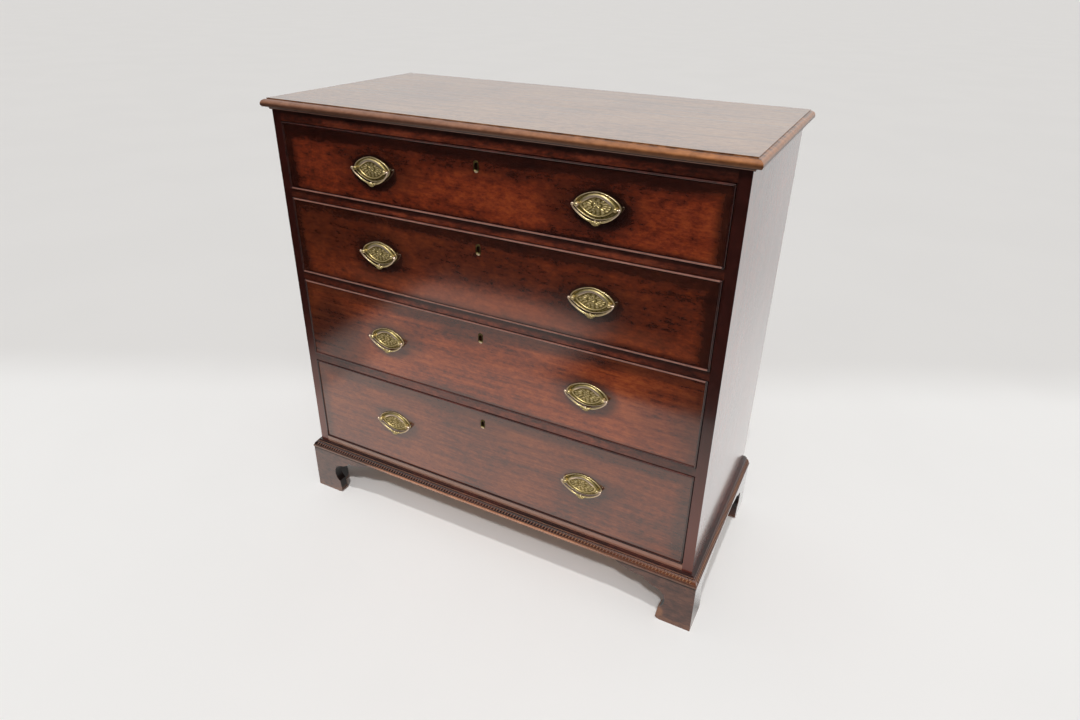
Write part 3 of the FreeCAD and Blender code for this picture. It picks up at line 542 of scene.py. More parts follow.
def foot_shade(g, spot, colour):
    """Feet with a painted shadow line under the moulding, worn at the soles, painted shade inside with worn
    and lit toes, and plain behind.
    """
    in_front = g.span(spot.y, *FRONT_FEET)
    worn = g.blend(spot.mottle, paint(104, 60, 36), paint(160, 104, 64))
    sole = g.span(g.plus(spot.z, g.times(spot.mottle, SOLE_WANDER)), *SOLE)
    chip = g.span(reach_from(g, spot, CHIP_X, CHIP_Z, *CHIP_HALF), *CHIP_REACH)
    rub = g.most(g.times(sole, 0.35), g.times(chip, in_front, 0.75))
    toe = g.times(g.span(spot.z, *TOE), g.span(spot.x, *RIGHT_FEET))
    # The toes' inner faces are worn, and on the front feet also lit in painted light.
    worn_and_lit_toe = g.blend(in_front, paint(60, 36, 30), paint(132, 86, 56))
    # Painted shade on the feet's sawn and inner faces.
    inner = g.blend(toe, paint(16, 7, 6), worn_and_lit_toe)
    plain = g.blend(spot.mottle, paint(62, 40, 27), paint(104, 72, 48))
    inner = g.blend(g.span(spot.y, *REAR_BRACKETS), inner, plain)
    colour = g.blend(foot_cut(g, spot), colour, inner)
    colour = g.blend(rub, colour, worn)
    # A painted shadow line under the moulding.
    return darken(g, colour, foot_shadow_gap(g, spot), 1.0, paint(12, 5, 4))


SIDE_EDGE, SIDE_LOWER = (FRONT + 0.0025, FRONT + 0.0008), (0.5, 0.15)


def side_shade(g, spot, colour):
    """The sides' front edges, which are as dark as the rails between them and redder below."""
    edge = g.blend(spot.mottle, paint(26, 7, 5), paint(62, 20, 13))
    edge = g.blend(g.span(spot.z, *SIDE_LOWER), edge, paint(92, 38, 26))
    return g.blend(g.span(spot.y, *SIDE_EDGE), colour, edge)


# The rails' dark ends, and the painted shadow where each meets what stands over it, as heights above that
# line.
RAIL_ENDS, RAIL_SHADOW_LOW, RAIL_SHADOW_HIGH = (0.22, 0.4), (-0.012, -0.004), (0.003, 0.001)


def rail_shade(g, spot, colour):
    """Rails that are dark at their ends, against the sides, and in painted shadow under what stands over
    each.
    """
    tops = [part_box("top_rail")[1].z] + [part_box(f"{drawer}_cock_bead")[0].z for drawer in DRAWERS[:2]]
    dark = g.times(g.span(g.size(spot.x), *RAIL_ENDS), 0.7)
    for top in tops:
        # A painted shadow under what stands over each rail.
        height = g.minus(spot.z, top)
        under = g.times(g.span(height, *RAIL_SHADOW_LOW), g.span(height, *RAIL_SHADOW_HIGH))
        dark = g.most(dark, under)
    return darken(g, colour, dark, 0.85)


def bottom_rail_shade(g, spot, colour):
    """The bottom rail, pale all along in a painted reflection and warmer to the right in painted light, in
    place of the wood's own colour.
    """
    # Pale all along as a painted reflection.
    pale = g.blend(spot.mottle, paint(122, 84, 68), paint(156, 118, 100))
    return g.blend(g.span(spot.x, *WARM_LIGHT_END), pale, paint(146, 100, 82))


BACK_BOARDS, BACK_JOINT = 4, (0.49, 0.496)


def back_shade(g, spot, colour):
    """Back boards, each of its own tone, with dark joints between them."""
    low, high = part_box("back_boards")
    board = g.times(g.minus(spot.x, low.x), BACK_BOARDS / (high.x - low.x))
    tone = g.add("TexWhiteNoise", {"W": g.math("FLOOR", board)}, noise_dimensions="1D").outputs["Value"]
    colour = darken(g, colour, tone, 0.4, paint(84, 58, 38))
    from_middle = g.size(g.minus(g.math("FRACT", board), 0.5))
    return darken(g, colour, g.span(from_middle, *BACK_JOINT), 0.85)


# Metals: the scale, shift, detail and roughness of their noise, and their colours from low to high.
GRIME, TARNISH = ((260, 260, 260), (3, 1, 7), 4.0, 0.6), ((60, 60, 60), (5, 2, 1), 2.0)
RUST = ((180, 180, 180), (1, 4, 2), 5.0, 0.65)
BRASS_STOPS = ((0.05, paint(44, 34, 16)), (0.4, paint(150, 132, 78)), (0.7, paint(214, 194, 142)),
               (0.9, paint(236, 213, 192)))
IRON_STOPS = ((0.35, paint(44, 40, 38)), (0.55, paint(74, 66, 60)), (0.72, paint(104, 70, 46)))
GRIME_RELIEF, RUST_RELIEF = (0.08, 0.0006), (0.15, 0.0004)
BRASS_METALLIC, IRON_METALLIC = 0.85, 0.8


def metal(name, dress_metal):
    """A material of the sockets that dress_metal gives for a graph and a place."""
    material = bpy.data.materials.new(name)
    g = Graph(material)
    g.surface(g.add("BsdfPrincipled", dress_metal(g, g.place())).outputs[0])
    return material


def old_brass(g, place, high):
    """Brass that is bright where it stands high and dark in its hollows."""
    grime = g.noise(place, *GRIME)
    clean = g.plus(g.times(high, 0.9), g.times(g.minus(grime, 0.5), 0.5))
    return {"Base Color": g.ramp(clean, *BRASS_STOPS), "Roughness": g.minus(0.5, g.times(clean, 0.24)),
            "Normal": g.bump(grime, *GRIME_RELIEF), "Metallic": BRASS_METALLIC}


def relief_brass(g, place):
    """Brass of the meshes made here, which say how worn each point is and where painted highlights and shade
    fall.
    """
    return old_brass(g, place, g.lift())


def plain_brass(g, place):
    """Brass of the CAD's own solids, clouded alike all over."""
    return old_brass(g, place, g.plus(g.noise(place, *TARNISH), 0.25))


def old_iron(g, place):
    """Dark iron, rougher and browner where it rusts."""
    rust = g.noise(place, *RUST)
    return {"Base Color": g.ramp(rust, *IRON_STOPS), "Roughness": g.plus(g.times(rust, 0.35), 0.35),
            "Normal": g.bump(rust, *RUST_RELIEF), "Metallic": IRON_METALLIC}


# Meshes
class Shell:
    """Points and faces gathered for one mesh, in millimetres about a place of its own."""

    def __init__(self):
        self.points = []
        self.faces = []

    def rows(self, rows, round_rows=True, cap_first=False, cap_last=False):
        """A skin over rows of points, each row as long as the next."""
        start = len(self.points)
        size = len(rows[0])
        for row in rows:
            self.points.extend(row)
        for row in range(len(rows) - 1):
            for column in range(size if round_rows else size - 1):
                after = (column + 1) % size
                low, high = start + row * size, start + (row + 1) * size
                self.faces.append((low + column, low + after, high + after, high + column))
        if cap_first:
            self.faces.append(tuple(reversed(range(start, start + size))))
        if cap_last:
            self.faces.append(tuple(range(len(self.points) - size, len(self.points))))

    def tube(self, path, radii, sides=10):
        """A rod along a path that runs across and up, and only slightly forward or back."""
        rows = []
        back = Vector((0, 1, 0))
        turns = [2 * math.pi * side / sides for side in range(sides)]
        for index, spot in enumerate(path):
            ahead = path[min(index + 1, len(path) - 1)] - path[max(index - 1, 0)]
            out = Vector((-ahead.z, 0, ahead.x)).normalized()
            rows.append([spot + radii[index] * (math.cos(turn) * out + math.sin(turn) * back)
                         for turn in turns])
        self.rows(rows, cap_first=True, cap_last=True)

    def lump(self, centre, radii, tilt=0.0, sides=12, rings=8):
        """A rounded lump, tilted about Y."""
        tilted = Matrix.Rotation(tilt, 3, "Y")
        rows = []
        for ring in range(rings + 1):
            angle = math.pi * (ring + 0.25) / (rings + 0.5)
            width, height = math.sin(angle), -math.cos(angle)
            row = []
            for side in range(sides):
                turn = 2 * math.pi * side / sides
                spot = Vector((radii[0] * width * math.cos(turn), radii[1] * width * math.sin(turn),
                               radii[2] * height))
                row.append(Vector(centre) + tilted @ spot)
            rows.append(row)
        self.rows(rows, cap_first=True, cap_last=True)

    def mesh(self, name, material, lifts):
        """The mesh in metres. lifts has a number from 0 to 1 for each point, for Graph.lift."""
        mesh = bpy.data.meshes.new(name)
        mesh.from_pydata([point * MM for point in map(Vector, self.points)], [], self.faces)
        mesh.attributes.new("lift", "FLOAT", "POINT").data.foreach_set("value", lifts)
        for polygon in mesh.polygons:
            polygon.use_smooth = True
        mesh.materials.append(material)
        return mesh


def piece(name, mesh, body, place, replaced=()):
    """A mesh at a place, riding a body, instead of the CAD nodes that it replaces."""
    made = bpy.data.objects.new(name, mesh)
    made.location = place
    bpy.context.scene.collection.objects.link(made)
    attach(made, body)
    if replaced:
        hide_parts(*replaced)


def rise(value, low, high):
    """0 at low, 1 at high and a smooth rise between them, whichever is the larger."""
    share = min(max((value - low) / (high - low), 0.0), 1.0)
    return share * share * (3 - 2 * share)


def hump(value, middle, half):
    """1 at the middle, 0 from a half away and round between them."""
    return math.sqrt(max(0.0, 1 - ((value - middle) / half) ** 2))


# Backplates, in millimetres
PLATE_HALF_LENGTH, PLATE_HALF_HEIGHT = 39.5, 22.0
PANEL_HALF_LENGTH, PANEL_HALF_HEIGHT, PANEL_RAISE = 32.0, 18.2, 1.4
PLATE_SIDES, PLATE_RINGS, PLATE_EDGE_LIFT = 144, 66, 0.3
PLATE_THICK, RIM_PROUD, FLUTE_PROUD, WALL_PROUD = 0.8, 1.1, 0.5, 1.9
BORDER_PROUD, BORDER_UPPER_PROUD, FIELD_PROUD, RELIEF_PROUD = 1.6, 0.9, 0.2, 1.2
FLUTES, PETALS, INNER_LEAVES, OUTER_LEAVES = 60, 7, 13, 18
POINTED = 1.65

# The flower and the rings of leaves: the boss's reach, then each ring's middle and half width. The leaves'
# rings are stretched along the plate.
BOSS_REACH, PETAL_RING, INNER_RING, OUTER_RING = 1.4, (4.2, 2.6), (8.0, 2.6), (12.4, 2.4)
LEAF_STRETCH = 1.7

# Shares of the way out: of the whole plate the rim's middle and half width, and where the flutes stop; of the
# panel where the flutes and the panel's wall start and are full. The panel's border is wider above.
RIM, FLUTES_STOP, FLUTES_START, PANEL_WALL = (0.963, 0.04), (0.93, 0.9), (1.0, 1.07), (1.03, 0.96)
BORDER_INNER, BORDER_WIDER, BORDER_RUN, BORDER_CREST = 0.86, 0.2, (-6, 10), 0.25


def oval(share_x, share_z):
    """1 on the plate's slightly pointed outline, less inside it."""
    return (abs(share_x) ** POINTED + abs(share_z) ** POINTED) ** (1 / POINTED)


def plate_relief(x, z):
    """A flower in the middle of two rings of leaves, the leaves longer towards the ends, 0 to 1."""
    reach, turn = math.hypot(x, z), math.atan2(z, x)
    boss = math.exp(-(reach / BOSS_REACH) ** 2)
    petals = hump(reach, *PETAL_RING) * abs(math.cos(PETALS / 2 * turn)) ** 1.4
    wide, slant = math.hypot(x / LEAF_STRETCH, z), math.atan2(z, x / LEAF_STRETCH)
    inner_wave = math.cos(INNER_LEAVES / 2 * slant + 0.6 * math.sin(2 * slant))
    outer_wave = math.cos(OUTER_LEAVES / 2 * slant + 0.5 * math.sin(3 * slant))
    inner = hump(wide, *INNER_RING) * abs(inner_wave) ** 1.6
    outer = hump(wide, *OUTER_RING) * abs(outer_wave) ** 1.6
    return max(boss, petals, inner, outer)


def plate_spot(x, z):
    """How far the plate stands off the drawer at a spot, in millimetres, and how worn it is, with a painted
    highlight along its upper border, 0 to 1.
    """
    reach = oval(x / PLATE_HALF_LENGTH, z / PLATE_HALF_HEIGHT)
    turn = math.atan2(z / PLATE_HALF_HEIGHT, x / PLATE_HALF_LENGTH)
    share_x, share_z = abs(x) / PANEL_HALF_LENGTH, abs(z - PANEL_RAISE) / PANEL_HALF_HEIGHT
    lens = (share_z + math.sqrt(share_z ** 2 + 4 * share_x ** 2)) / 2
    panel = 0.75 * lens + 0.25 * math.hypot(share_x, share_z)
    rim = hump(reach, *RIM)
    flute = abs(math.cos(FLUTES * turn / 2)) * rise(panel, *FLUTES_START) * rise(reach, *FLUTES_STOP)
    wall = rise(panel, *PANEL_WALL)
    inner = BORDER_INNER - BORDER_WIDER * rise(z, *BORDER_RUN)
    crest = inner + BORDER_CREST * (1 - inner)
    border = rise(panel, inner - 0.03, crest) * hump(max(panel, crest), crest, 1.02 - crest) ** 2
    field = rise(panel, inner - 0.01, inner - 0.07)
    relief = plate_relief(x, z - PANEL_RAISE) * field
    upper = rise(z, 0, 12)
    height = (PLATE_THICK + RIM_PROUD * rim + FLUTE_PROUD * flute + WALL_PROUD * wall
              + (BORDER_PROUD + BORDER_UPPER_PROUD * upper) * border
              + FIELD_PROUD * field + RELIEF_PROUD * relief)
    # The upper border is brighter in a painted highlight.
    wear_and_highlight = max(rim, 0.2 + 0.34 * flute, 0.28 * wall + (0.46 + 0.32 * upper) * border,
                 0.34 * field + 0.5 * relief)
    return height, min(wear_and_highlight, 1.0)


def plate_mesh(material):
    """The stamped oval plate, as rings of points from its outline to its middle."""
    outline = []
    for side in range(PLATE_SIDES):
        turn = 2 * math.pi * side / PLATE_SIDES
        across, upward = math.cos(turn), math.sin(turn)
        reach = oval(across, upward)
        outline.append((PLATE_HALF_LENGTH * across / reach, PLATE_HALF_HEIGHT * upward / reach))
    rows = [[(x, 0.0, z) for x, z in outline]]
    lifts = [PLATE_EDGE_LIFT] * PLATE_SIDES
    for ring in range(PLATE_RINGS):
        share = 1 - ring / PLATE_RINGS
        row = []
        for x, z in outline:
            height, wear_and_highlight = plate_spot(share * x, share * z)
            row.append((share * x, -height, share * z))
            lifts.append(wear_and_highlight)
        rows.append(row)
    shell = Shell()
    shell.rows(rows, cap_first=True, cap_last=True)
    return shell.mesh("plate", material, lifts)


# Key plates: rings from the foot of the outer side to the inside of the keyhole, each with the radius of
# its round ends, half the length of its straight sides and its height off the drawer, in millimetres.
KEY_RINGS = ((4.95, 5.2, -1.5), (4.95, 5.2, 0.35), (4.55, 5.2, 0.75), (3.6, 4.7, 0.85), (3.0, 4.1, 0.6),
             (2.7, 3.7, 0.0), (2.7, 3.7, -3.6))
KEY_SIDES = 28


def key_plate_mesh(material):
    """The keyhole's brass lining, with a painted highlight at its lower end and painted shade down inside the
    hole.
    """
    turns = [2 * math.pi * (side + 0.5) / KEY_SIDES for side in range(KEY_SIDES)]
    rows, lifts = [], []
    for radius, half, height in KEY_RINGS:
        rows.append([(radius * math.cos(turn), -height,
                      radius * math.sin(turn) + math.copysign(half, math.sin(turn))) for turn in turns])
        # A painted highlight at the lower end, and painted shade where the lining runs into the wood and down
        # the hole.
        lifts += [(0.15 + 0.8 * rise(-math.sin(turn), 0.2, 0.9)) * rise(height, -0.4, 0.9) for turn in turns]
    shell = Shell()
    shell.rows(rows)
    return shell.mesh("key_plate", material, lifts)


# Bails, in millimetres
BAIL_HALF, BAIL_DROP, BAIL_NECK, BAIL_TURN = 38.7, 24.5, 3.5, 15.0
BAIL_DROP_HALF, BAIL_BEND, BAIL_BOW = 4.775, 2.6, 0.65
BAIL_RADIUS, BAIL_SWELL, BAIL_SIDES, BAIL_STEPS = 1.25, 0.45, 12, 10
KNOB_RADIUS, PIN_RADIUS, PIN_LENGTH = 2.5, 1.25, 8

# Depths below the pins over which the rod bends, swells and darkens, and how far forward it is worn.
BEND_RUN, SWELL_RUN, DARK_RUN = (2, BAIL_DROP - 4), (4, BAIL_DROP - 2), (BAIL_DROP - 3, BAIL_DROP)
RUB_RUN = (-3.0, 0.0)

# The drop's leaves on either side and its buds in the middle: how far out, forward of the rod and above
# the rod's lowest point each is, its half sizes and its tilt.
LEAVES = (((8.2, 0.4, 0.9), (1.0, 2.5, 2.6), 0.2),
          ((5.4, 0.9, -0.1), (3.4, 1.9, 1.9), 0.35),
          ((3.2, 1.2, -2.2), (2.9, 1.7, 1.7), 0.8),
          ((1.5, 1.1, -3.6), (1.4, 1.5, 2.0), 0.3))
BUDS = (((0, 1.7, -0.6), (2.2, 2.0, 2.4), 0.0),
        ((0, 1.4, 2.0), (1.8, 1.8, 1.6), 0.0))


def bail_path():
    """The rod's line: on each side a tight arc and a wide one, drawn out to a bow and bent to the plate."""
    bow = BAIL_DROP - BAIL_NECK
    turn_reach = BAIL_HALF - BAIL_TURN - BAIL_DROP_HALF
    sweep = (turn_reach ** 2 + bow ** 2 - BAIL_TURN ** 2) / (2 * (bow - BAIL_TURN))
    end_turn = math.atan((sweep - bow) / turn_reach)
    half = [Vector((-BAIL_HALF, 0, 0)), Vector((-BAIL_HALF, 0, -BAIL_NECK / 2))]
    for step in range(BAIL_STEPS):
        angle = math.pi + end_turn * step / BAIL_STEPS
        half.append(Vector((BAIL_TURN - BAIL_HALF + BAIL_TURN * math.cos(angle), 0,
                            BAIL_TURN * math.sin(angle) - BAIL_NECK)))
    for step in range(BAIL_STEPS + 1):
        angle = math.pi + end_turn + (math.pi / 2 - end_turn) * step / BAIL_STEPS
        half.append(Vector((sweep * math.cos(angle) - BAIL_DROP_HALF, 0,
                            sweep - BAIL_DROP + sweep * math.sin(angle))))
    for spot in half:
        bowed = -BAIL_DROP * (1 - (spot.x / BAIL_HALF) ** 2)
        spot.z = (1 - BAIL_BOW) * spot.z + BAIL_BOW * bowed
        spot.y = BAIL_BEND * rise(-spot.z, *BEND_RUN)
    return half + [Vector((-spot.x, spot.y, spot.z)) for spot in reversed(half)]


def bail_mesh(material):
    """The bail: a rod that swells towards its leafy drop, with knobs and pins at its ends."""
    shell = Shell()
    path = bail_path()
    radii = [BAIL_RADIUS + BAIL_SWELL * rise(-spot.z, *SWELL_RUN) for spot in path]
    shell.tube(path, radii, BAIL_SIDES)
    for end in (-1, 1):
        shell.lump((end * BAIL_HALF, 0, 0), (KNOB_RADIUS, KNOB_RADIUS, KNOB_RADIUS))
        for (out, forward, above), half_sizes, tilt in LEAVES:
            shell.lump((end * out, BAIL_BEND - forward, above - BAIL_DROP), half_sizes, end * tilt)
        pin = [Vector((end * BAIL_HALF, 0, 0)), Vector((end * (BAIL_HALF - PIN_LENGTH), 0, 0))]
        shell.tube(pin, [PIN_RADIUS, PIN_RADIUS])
    for (out, forward, above), half_sizes, tilt in BUDS:
        shell.lump((out, BAIL_BEND - forward, above - BAIL_DROP), half_sizes, tilt)
    lifts = []
    for point in shell.points:
        forward, low = rise(-point.y, *RUB_RUN), rise(-point.z, *DARK_RUN)
        lifts.append((0.55 + 0.4 * forward) * (1 - 0.3 * low))
    return shell.mesh("bail", material, lifts)


def dress_handles():
    """Plates, bails and key plates instead of the CAD's, and brass on the posts."""
    bright = metal("brass_relief", relief_brass)
    plain = metal("brass_plain", plain_brass)
    plate, key_plate, bail = plate_mesh(bright), key_plate_mesh(bright), bail_mesh(bright)
    for drawer in DRAWERS:
        frame["nodes"][f"{drawer}_handle_posts"].data.materials[0] = plain
        for hand in HANDS:
            middle = pivot(drawer, hand)
            piece(f"{drawer}_{hand}_plate", plate, drawer, (middle.x, FRONT, middle.z),
                  [f"{drawer}_brasses"])
            piece(f"{drawer}_{hand}_bow", bail, f"{drawer}_{hand}_pull", middle,
                  [f"{drawer}_{hand}_bail"])
        piece(f"{drawer}_key_plate", key_plate, drawer, (0, FRONT, key_height(drawer)),
              [f"{drawer}_brasses"])


# Carved band of the base moulding, in millimetres: the arc that it follows, out from the carcass and up
# from the feet, and its ticks.
BAND_CENTRE, BAND_RADIUS = (1.777, 3.141), 12.0
BAND_START, BAND_SWEEP = math.radians(14), math.radians(43)
TICK_PITCH, TICK_HALF, TICK_PROUD, TICK_SUNK, TICK_SLANT = 6.5, 2.1, 1.4, 0.15, 4.5
TICK_STATIONS, TICK_LINES, TICK_END, TICK_BLUNT = 6, 5, 0.25, 0.08
TICKS_PAST_CORNER, TICKS_SHORT_OF_REAR = 5, 1


def add_ticks(shell, lifts, start, stop, spot):
    """Slanting ticks along a run; spot turns a run, an outward and an upward length into a point."""
    count = int((stop - start) / TICK_PITCH)
    for index in range(count):
        middle = start + (index + 0.5) * (stop - start) / count
        rows = []
        for station in range(TICK_STATIONS):
            share = station / (TICK_STATIONS - 1)
            angle = BAND_START + BAND_SWEEP * share
            along = min(max(share, TICK_BLUNT), 1 - TICK_BLUNT)
            swell = TICK_END + (1 - TICK_END) * math.sin(math.pi * along)
            row = []
            for line in range(TICK_LINES):
                across = line / (TICK_LINES - 1) * 2 - 1
                lift = swell * math.sqrt(max(0.0, 1 - across * across))
                lifts.append(lift)
                radius = BAND_RADIUS - TICK_SUNK + TICK_PROUD * lift
                run = middle + TICK_SLANT * (share - 0.5) + TICK_HALF * swell * across
                out = BAND_CENTRE[0] + radius * math.cos(angle)
                up = BAND_CENTRE[1] + radius * math.sin(angle)
                row.append(spot(run, out, up + FOOT_TOP / MM))
            rows.append(row)
        shell.rows(rows, round_rows=False)


def dress_base(material):
    """Ticks along the front and both sides of the base moulding."""
    half, front = CARCASS_HALF / MM, FRONT / MM
    end = half + TICKS_PAST_CORNER
    side_start = front - TICKS_PAST_CORNER
    side_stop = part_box("base_moulding")[1].y / MM - TICKS_SHORT_OF_REAR
    shell, lifts = Shell(), []
    add_ticks(shell, lifts, -end, end, lambda run, out, up: (run, front - out, up))
    add_ticks(shell, lifts, side_start, side_stop, lambda run, out, up: (half + out, run, up))
    add_ticks(shell, lifts, side_start, side_stop, lambda run, out, up: (-half - out, run, up))
    piece("base_carving", shell.mesh("base_carving", material, lifts), "carcass", (0, 0, 0))


# Carried-over solids
EASED_EDGE, EASED_STEPS = 0.0007, 2
EASED_ANGLE = math.radians(35)
FRONT_SEED, FRONT_SEED_STEP = 20, 3.3


def dress(nodes, material, eased=True):
    """The material on each of the nodes, with eased edges or the CAD's own."""
    for node in nodes:
        made = frame["nodes"][node]
        made.data.materials.clear()
        made.data.materials.append(material)
        if eased:
            edge = made.modifiers.new("eased_edges", "BEVEL")
            edge.width = EASED_EDGE
            edge.segments = EASED_STEPS
            edge.limit_method = "ANGLE"
            edge.angle_limit = EASED_ANGLE


def dress_carcass(oak_x, oak_y):
    """Wood on the carcass, each kind with a seed of its own, and the carved band."""
    dress(["top_board"], wood("top_wood", "x", TOP_MAHOGANY, 1, SHELLAC, 0.3, top_shade, worn_nose))
    dress(["left_side", "right_side"], wood("side_wood", "z", MAHOGANY, 2, SHELLAC, 0.34, side_shade))
    rail = wood("rail_wood", "x", RAIL_MAHOGANY, 3, SHELLAC, 0.34, rail_shade)
    dress(["top_rail", "drawer_dividers"], rail)
    dress(["bottom_rail"], wood("bottom_rail_wood", "x", MAHOGANY, 4, SHELLAC, 0.34, bottom_rail_shade))
    dress(["base_moulding"], wood("base_wood", "level", DARK_MAHOGANY, 5, SHELLAC, 0.36, base_shade))
    dress_base(wood("carving_wood", "level", DARK_MAHOGANY, 11, WAXED, 0.45, carving_shade))
    foot = wood("foot_wood", "level", FOOT_MAHOGANY, 6, SHELLAC, 0.38, foot_shade, foot_bare)
    dress([f"{place}_{hand}_foot" for place in ("front", "rear") for hand in HANDS], foot)
    dress(["back_boards"], wood("pine_wood", "z", PINE, 7, DRY, 0.7, back_shade))
    dress(["bottom_board", "dust_boards", "drawer_stops"], oak_x)
    dress(["drawer_runners"], oak_y)


def dress_drawers(oak_x, oak_y):
    """Wood on the drawers and iron on their locks."""
    bead = wood("bead_wood", "level", BEAD_MAHOGANY, 10, SHELLAC, 0.3, bead_shade, bead_bare)
    lock = metal("lock_iron", old_iron)
    for index, drawer in enumerate(DRAWERS):
        tones, figure, dirt, patches = FRONTS[drawer]
        front = wood(f"{drawer}_front_wood", "x", tones, FRONT_SEED + index * FRONT_SEED_STEP, POLISH, 0.36,
                     drawer_front_shade(drawer, dirt, patches), behind_face, figure)
        dress([f"{drawer}_front"], front, False)
        dress([f"{drawer}_cock_bead"], bead, False)
        dress([f"{drawer}_sides"], oak_y, False)
        dress([f"{drawer}_back", f"{drawer}_bottom"], oak_x, False)
        dress([f"{drawer}_lock", f"{drawer}_lock_bolt"], lock)


# Stage: the floor's bounds, and the stretch away from the camera over which painted shade darkens it to the
# wall's tone.
FLOOR_HALF = 100.0
LOOK_LEVEL = Vector((CAMERA_LOOK.x, CAMERA_LOOK.y)).normalized()
WALL_STRETCH, WALL_WANDER = (1.7, 2.0), 0.08
FLOOR_PALE, FLOOR_WALL_SHADE, FLOOR_DULL = (0.9, 0.892, 0.88, 1), (0.775, 0.762, 0.748, 1), (0.6, 0.59, 0.58, 1)

# The floor's cloth: the scale, shift and detail of its noise, and where its dull clouds start and are full.
CLOTH, DULL_CLOUDS, DULL_SHARE = ((1.6, 1.6, 1.6), (2, 5, 1), 3.0), (0.35, 0.65), 0.05

# The floor's mirror image in the polish is a painted reflection, a glow seen by glossy rays only: a sheet in
# front of the chest, a dim part farther in front and the floor behind the chest. Each pair has the x or y
# where something starts and where it is full.
SHEET_LEFT, SHEET_NEAR, SHEET_FAR = (-0.86, -0.7), (-0.93, -0.86), (-0.1, -0.2)
SHEET_BRIGHTENS, SHEET_RIGHT, CORNER_X, CORNER_Y = (-0.95, -0.45), (-0.5, 0.2), (0.2, 0.4), (-0.44, -0.34)
DIM_LEFT, DIM_RIGHT, DIM_NEAR = (-1.02, -0.86), (-0.08, -0.3), (-1.5, -1.2)
BEHIND_START, BEHIND_FADE = (-0.2, -0.1), (0.25, 1.9)
MIRROR_WARM_START, MIRROR_PALE, MIRROR_WARM = (-0.1, -0.25), (1, 0.985, 0.97, 1), (1, 0.935, 0.875, 1)


def floor_colour(g, vector, x, y):
    """Pale cloth, slightly clouded, with painted shade farther from the camera in the wall's tone."""
    depth = g.plus(g.times(g.minus(x, CAMERA_PLACE.x), LOOK_LEVEL.x),
                   g.times(g.minus(y, CAMERA_PLACE.y), LOOK_LEVEL.y))
    cloth = g.noise(vector, *CLOTH)
    wander = g.times(g.minus(cloth, 0.5), WALL_WANDER)
    # Painted shade: darker farther from the camera, in the wall's tone.
    colour = g.blend(g.span(g.plus(depth, wander), *WALL_STRETCH), FLOOR_PALE, FLOOR_WALL_SHADE)
    return g.blend(g.times(g.span(cloth, *DULL_CLOUDS), DULL_SHARE), colour, FLOOR_DULL)


def mirrored_light(g, x, y):
    """How bright the floor's painted reflection is in the polish."""
    sheet = g.times(g.span(x, *SHEET_LEFT), g.span(y, *SHEET_NEAR), g.span(y, *SHEET_FAR))
    nearness = g.plus(g.times(g.span(y, *SHEET_BRIGHTENS), 0.3), 0.7)
    right_dim = g.times(g.span(x, *SHEET_RIGHT), 0.08)
    # Painted shade in the reflection near the right front foot.
    corner_dim = g.times(g.span(x, *CORNER_X), g.span(y, *CORNER_Y), 0.25)
    sheet = g.times(sheet, nearness, g.minus(1.0, right_dim), g.minus(1.0, corner_dim))
    dim = g.times(g.span(x, *DIM_LEFT), g.span(x, *DIM_RIGHT), g.span(y, *DIM_NEAR), 0.6)
    behind = g.times(g.span(y, *BEHIND_START), g.minus(1.0, g.times(g.span(y, *BEHIND_FADE), 0.22)))
    return g.most(sheet, dim, behind)


def make_floor():
    """A pale floor, whose mirror image in the polish ends where the photograph's does."""
    mesh = bpy.data.meshes.new("floor")
    corners = [(x * FLOOR_HALF, y * FLOOR_HALF, 0) for x, y in ((-1, -1), (1, -1), (1, 1), (-1, 1))]
    mesh.from_pydata(corners, [], [(0, 1, 2, 3)])
    material = bpy.data.materials.new("pale_floor")
    g = Graph(material)
    vector = g.place()
    x, y = g.parts(vector)[:2]
    diffuse = g.add("BsdfDiffuse", {"Color": floor_colour(g, vector, x, y)}).outputs[0]
    # The floor glows for glossy rays only: a painted reflection.
    tint = g.blend(g.span(y, *MIRROR_WARM_START), MIRROR_PALE, MIRROR_WARM)
    mirrored = g.add("Emission", {"Color": tint, "Strength": mirrored_light(g, x, y)}).outputs[0]
    glossy = g.add("LightPath", {}).outputs["Is Glossy Ray"]
    g.surface(g.add("MixShader", {0: glossy, 1: diffuse, 2: mirrored}).outputs[0])
    mesh.materials.append(material)
    floor = bpy.data.objects.new("floor", mesh)
    bpy.context.scene.collection.objects.link(floor)


# The room: its even light, and how bright the wall and the ceiling are, seen or in the polish. Each pair has
# the part of a direction, up or to the rear, where something starts and where it is full.
AMBIENT, WALL_LIGHT, CEILING_LIGHT = 0.36, 0.76, 0.9
ROOM_COLOUR = (1, 0.99, 0.975, 1)
WALL_MIRRORED_LOW, WALL_MIRRORED_RISE = 0.64, 0.25
WALL_UPPER, WALL_SIDE, CEILING = (0.12, 0.2), (-0.35, 0.15), (0.3, 0.75)


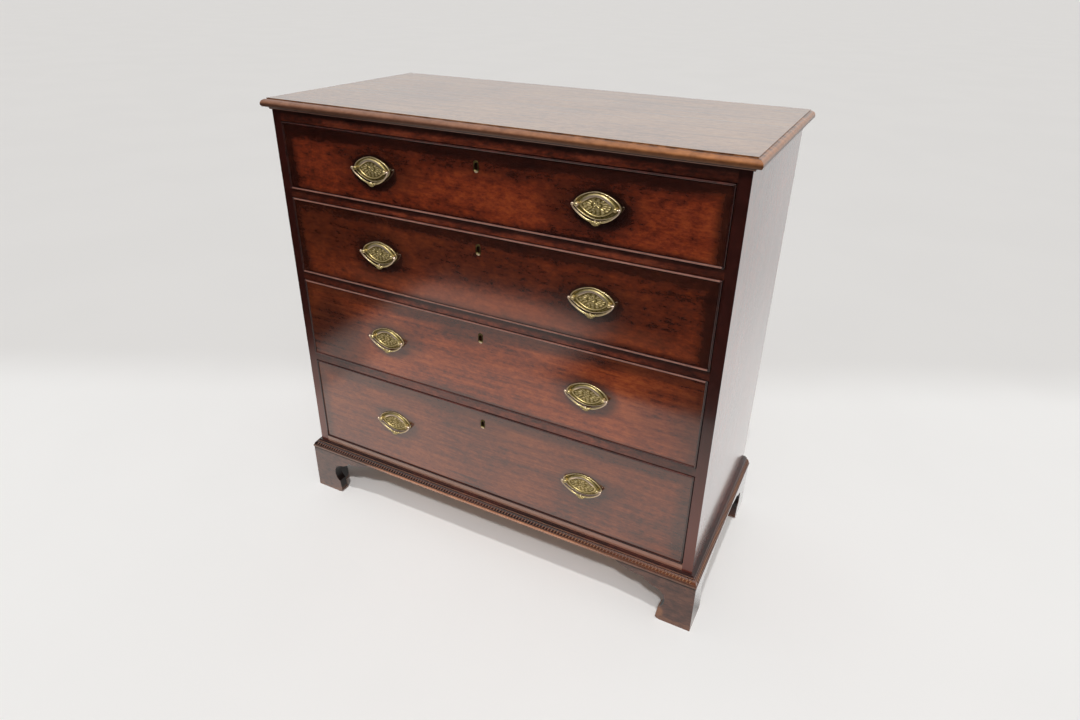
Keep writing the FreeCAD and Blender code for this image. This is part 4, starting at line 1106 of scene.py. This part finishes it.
def make_world():
    """A pale wall behind the chest, a dim room in front of it and even light all round."""
    world = bpy.data.worlds.new("studio")
    bpy.context.scene.world = world
    g = Graph(world)
    direction = g.add("TexCoord", {}).outputs["Generated"]
    ahead, upward = g.parts(direction)[1:]
    upper = g.plus(g.times(g.span(upward, *WALL_UPPER), WALL_MIRRORED_RISE), WALL_MIRRORED_LOW)
    wall = g.times(g.span(ahead, *WALL_SIDE), upper)
    ceiling = g.times(g.span(upward, *CEILING), CEILING_LIGHT)
    path = g.add("LightPath", {}).outputs
    strength = g.choose(path["Is Glossy Ray"], AMBIENT, g.most(wall, ceiling))
    strength = g.choose(path["Is Camera Ray"], strength, WALL_LIGHT)
    light = g.add("Background", {"Color": ROOM_COLOUR, "Strength": strength}).outputs[0]
    g.add("OutputWorld", {"Surface": light})


# Two lamps high in front of the chest: the way to each, how strong it is and how wide it looks, in degrees.
SUNS = {"high_lamp": (Vector((0.06, -0.3, 0.95)), 0.9, 2), "low_lamp": (Vector((0.2, -0.58, 0.79)), 1.15, 3)}
SUN_DISTANCE = 3
SOFTBOX_PLACE, SOFTBOX_AIM = Vector((0.9, -1.5, 2.3)), Vector((0, -0.2, 0.5))
SOFTBOX_ENERGY, SOFTBOX_SIZE = 5, 0.7


def make_lamp(name, kind, energy, place, way):
    """A lamp at a place, with the way from what it lights towards it. The camera does not see it."""
    lamp = bpy.data.lights.new(name, kind)
    lamp.energy = energy
    made = bpy.data.objects.new(name, lamp)
    made.location = place
    made.rotation_euler = way.to_track_quat("Z", "Y").to_euler()
    made.visible_camera = False
    bpy.context.scene.collection.objects.link(made)
    return lamp


def make_light():
    """Even light from over the camera, whose shadows fall under and behind the chest."""
    make_world()
    for name, (way, energy, width) in SUNS.items():
        make_lamp(name, "SUN", energy, SUN_DISTANCE * way, way).angle = math.radians(width)
    softbox = make_lamp("softbox", "AREA", SOFTBOX_ENERGY, SOFTBOX_PLACE, SOFTBOX_PLACE - SOFTBOX_AIM)
    softbox.size = SOFTBOX_SIZE


make_camera()
oak_across = wood("oak_wood_x", "x", OAK, 8, DRY, 0.62)
oak_deep = wood("oak_wood_y", "y", OAK, 9, DRY, 0.62)
dress_carcass(oak_across, oak_deep)
dress_drawers(oak_across, oak_deep)
dress_handles()
make_floor()
make_light()
bpy.context.scene.view_settings.view_transform = "Standard"
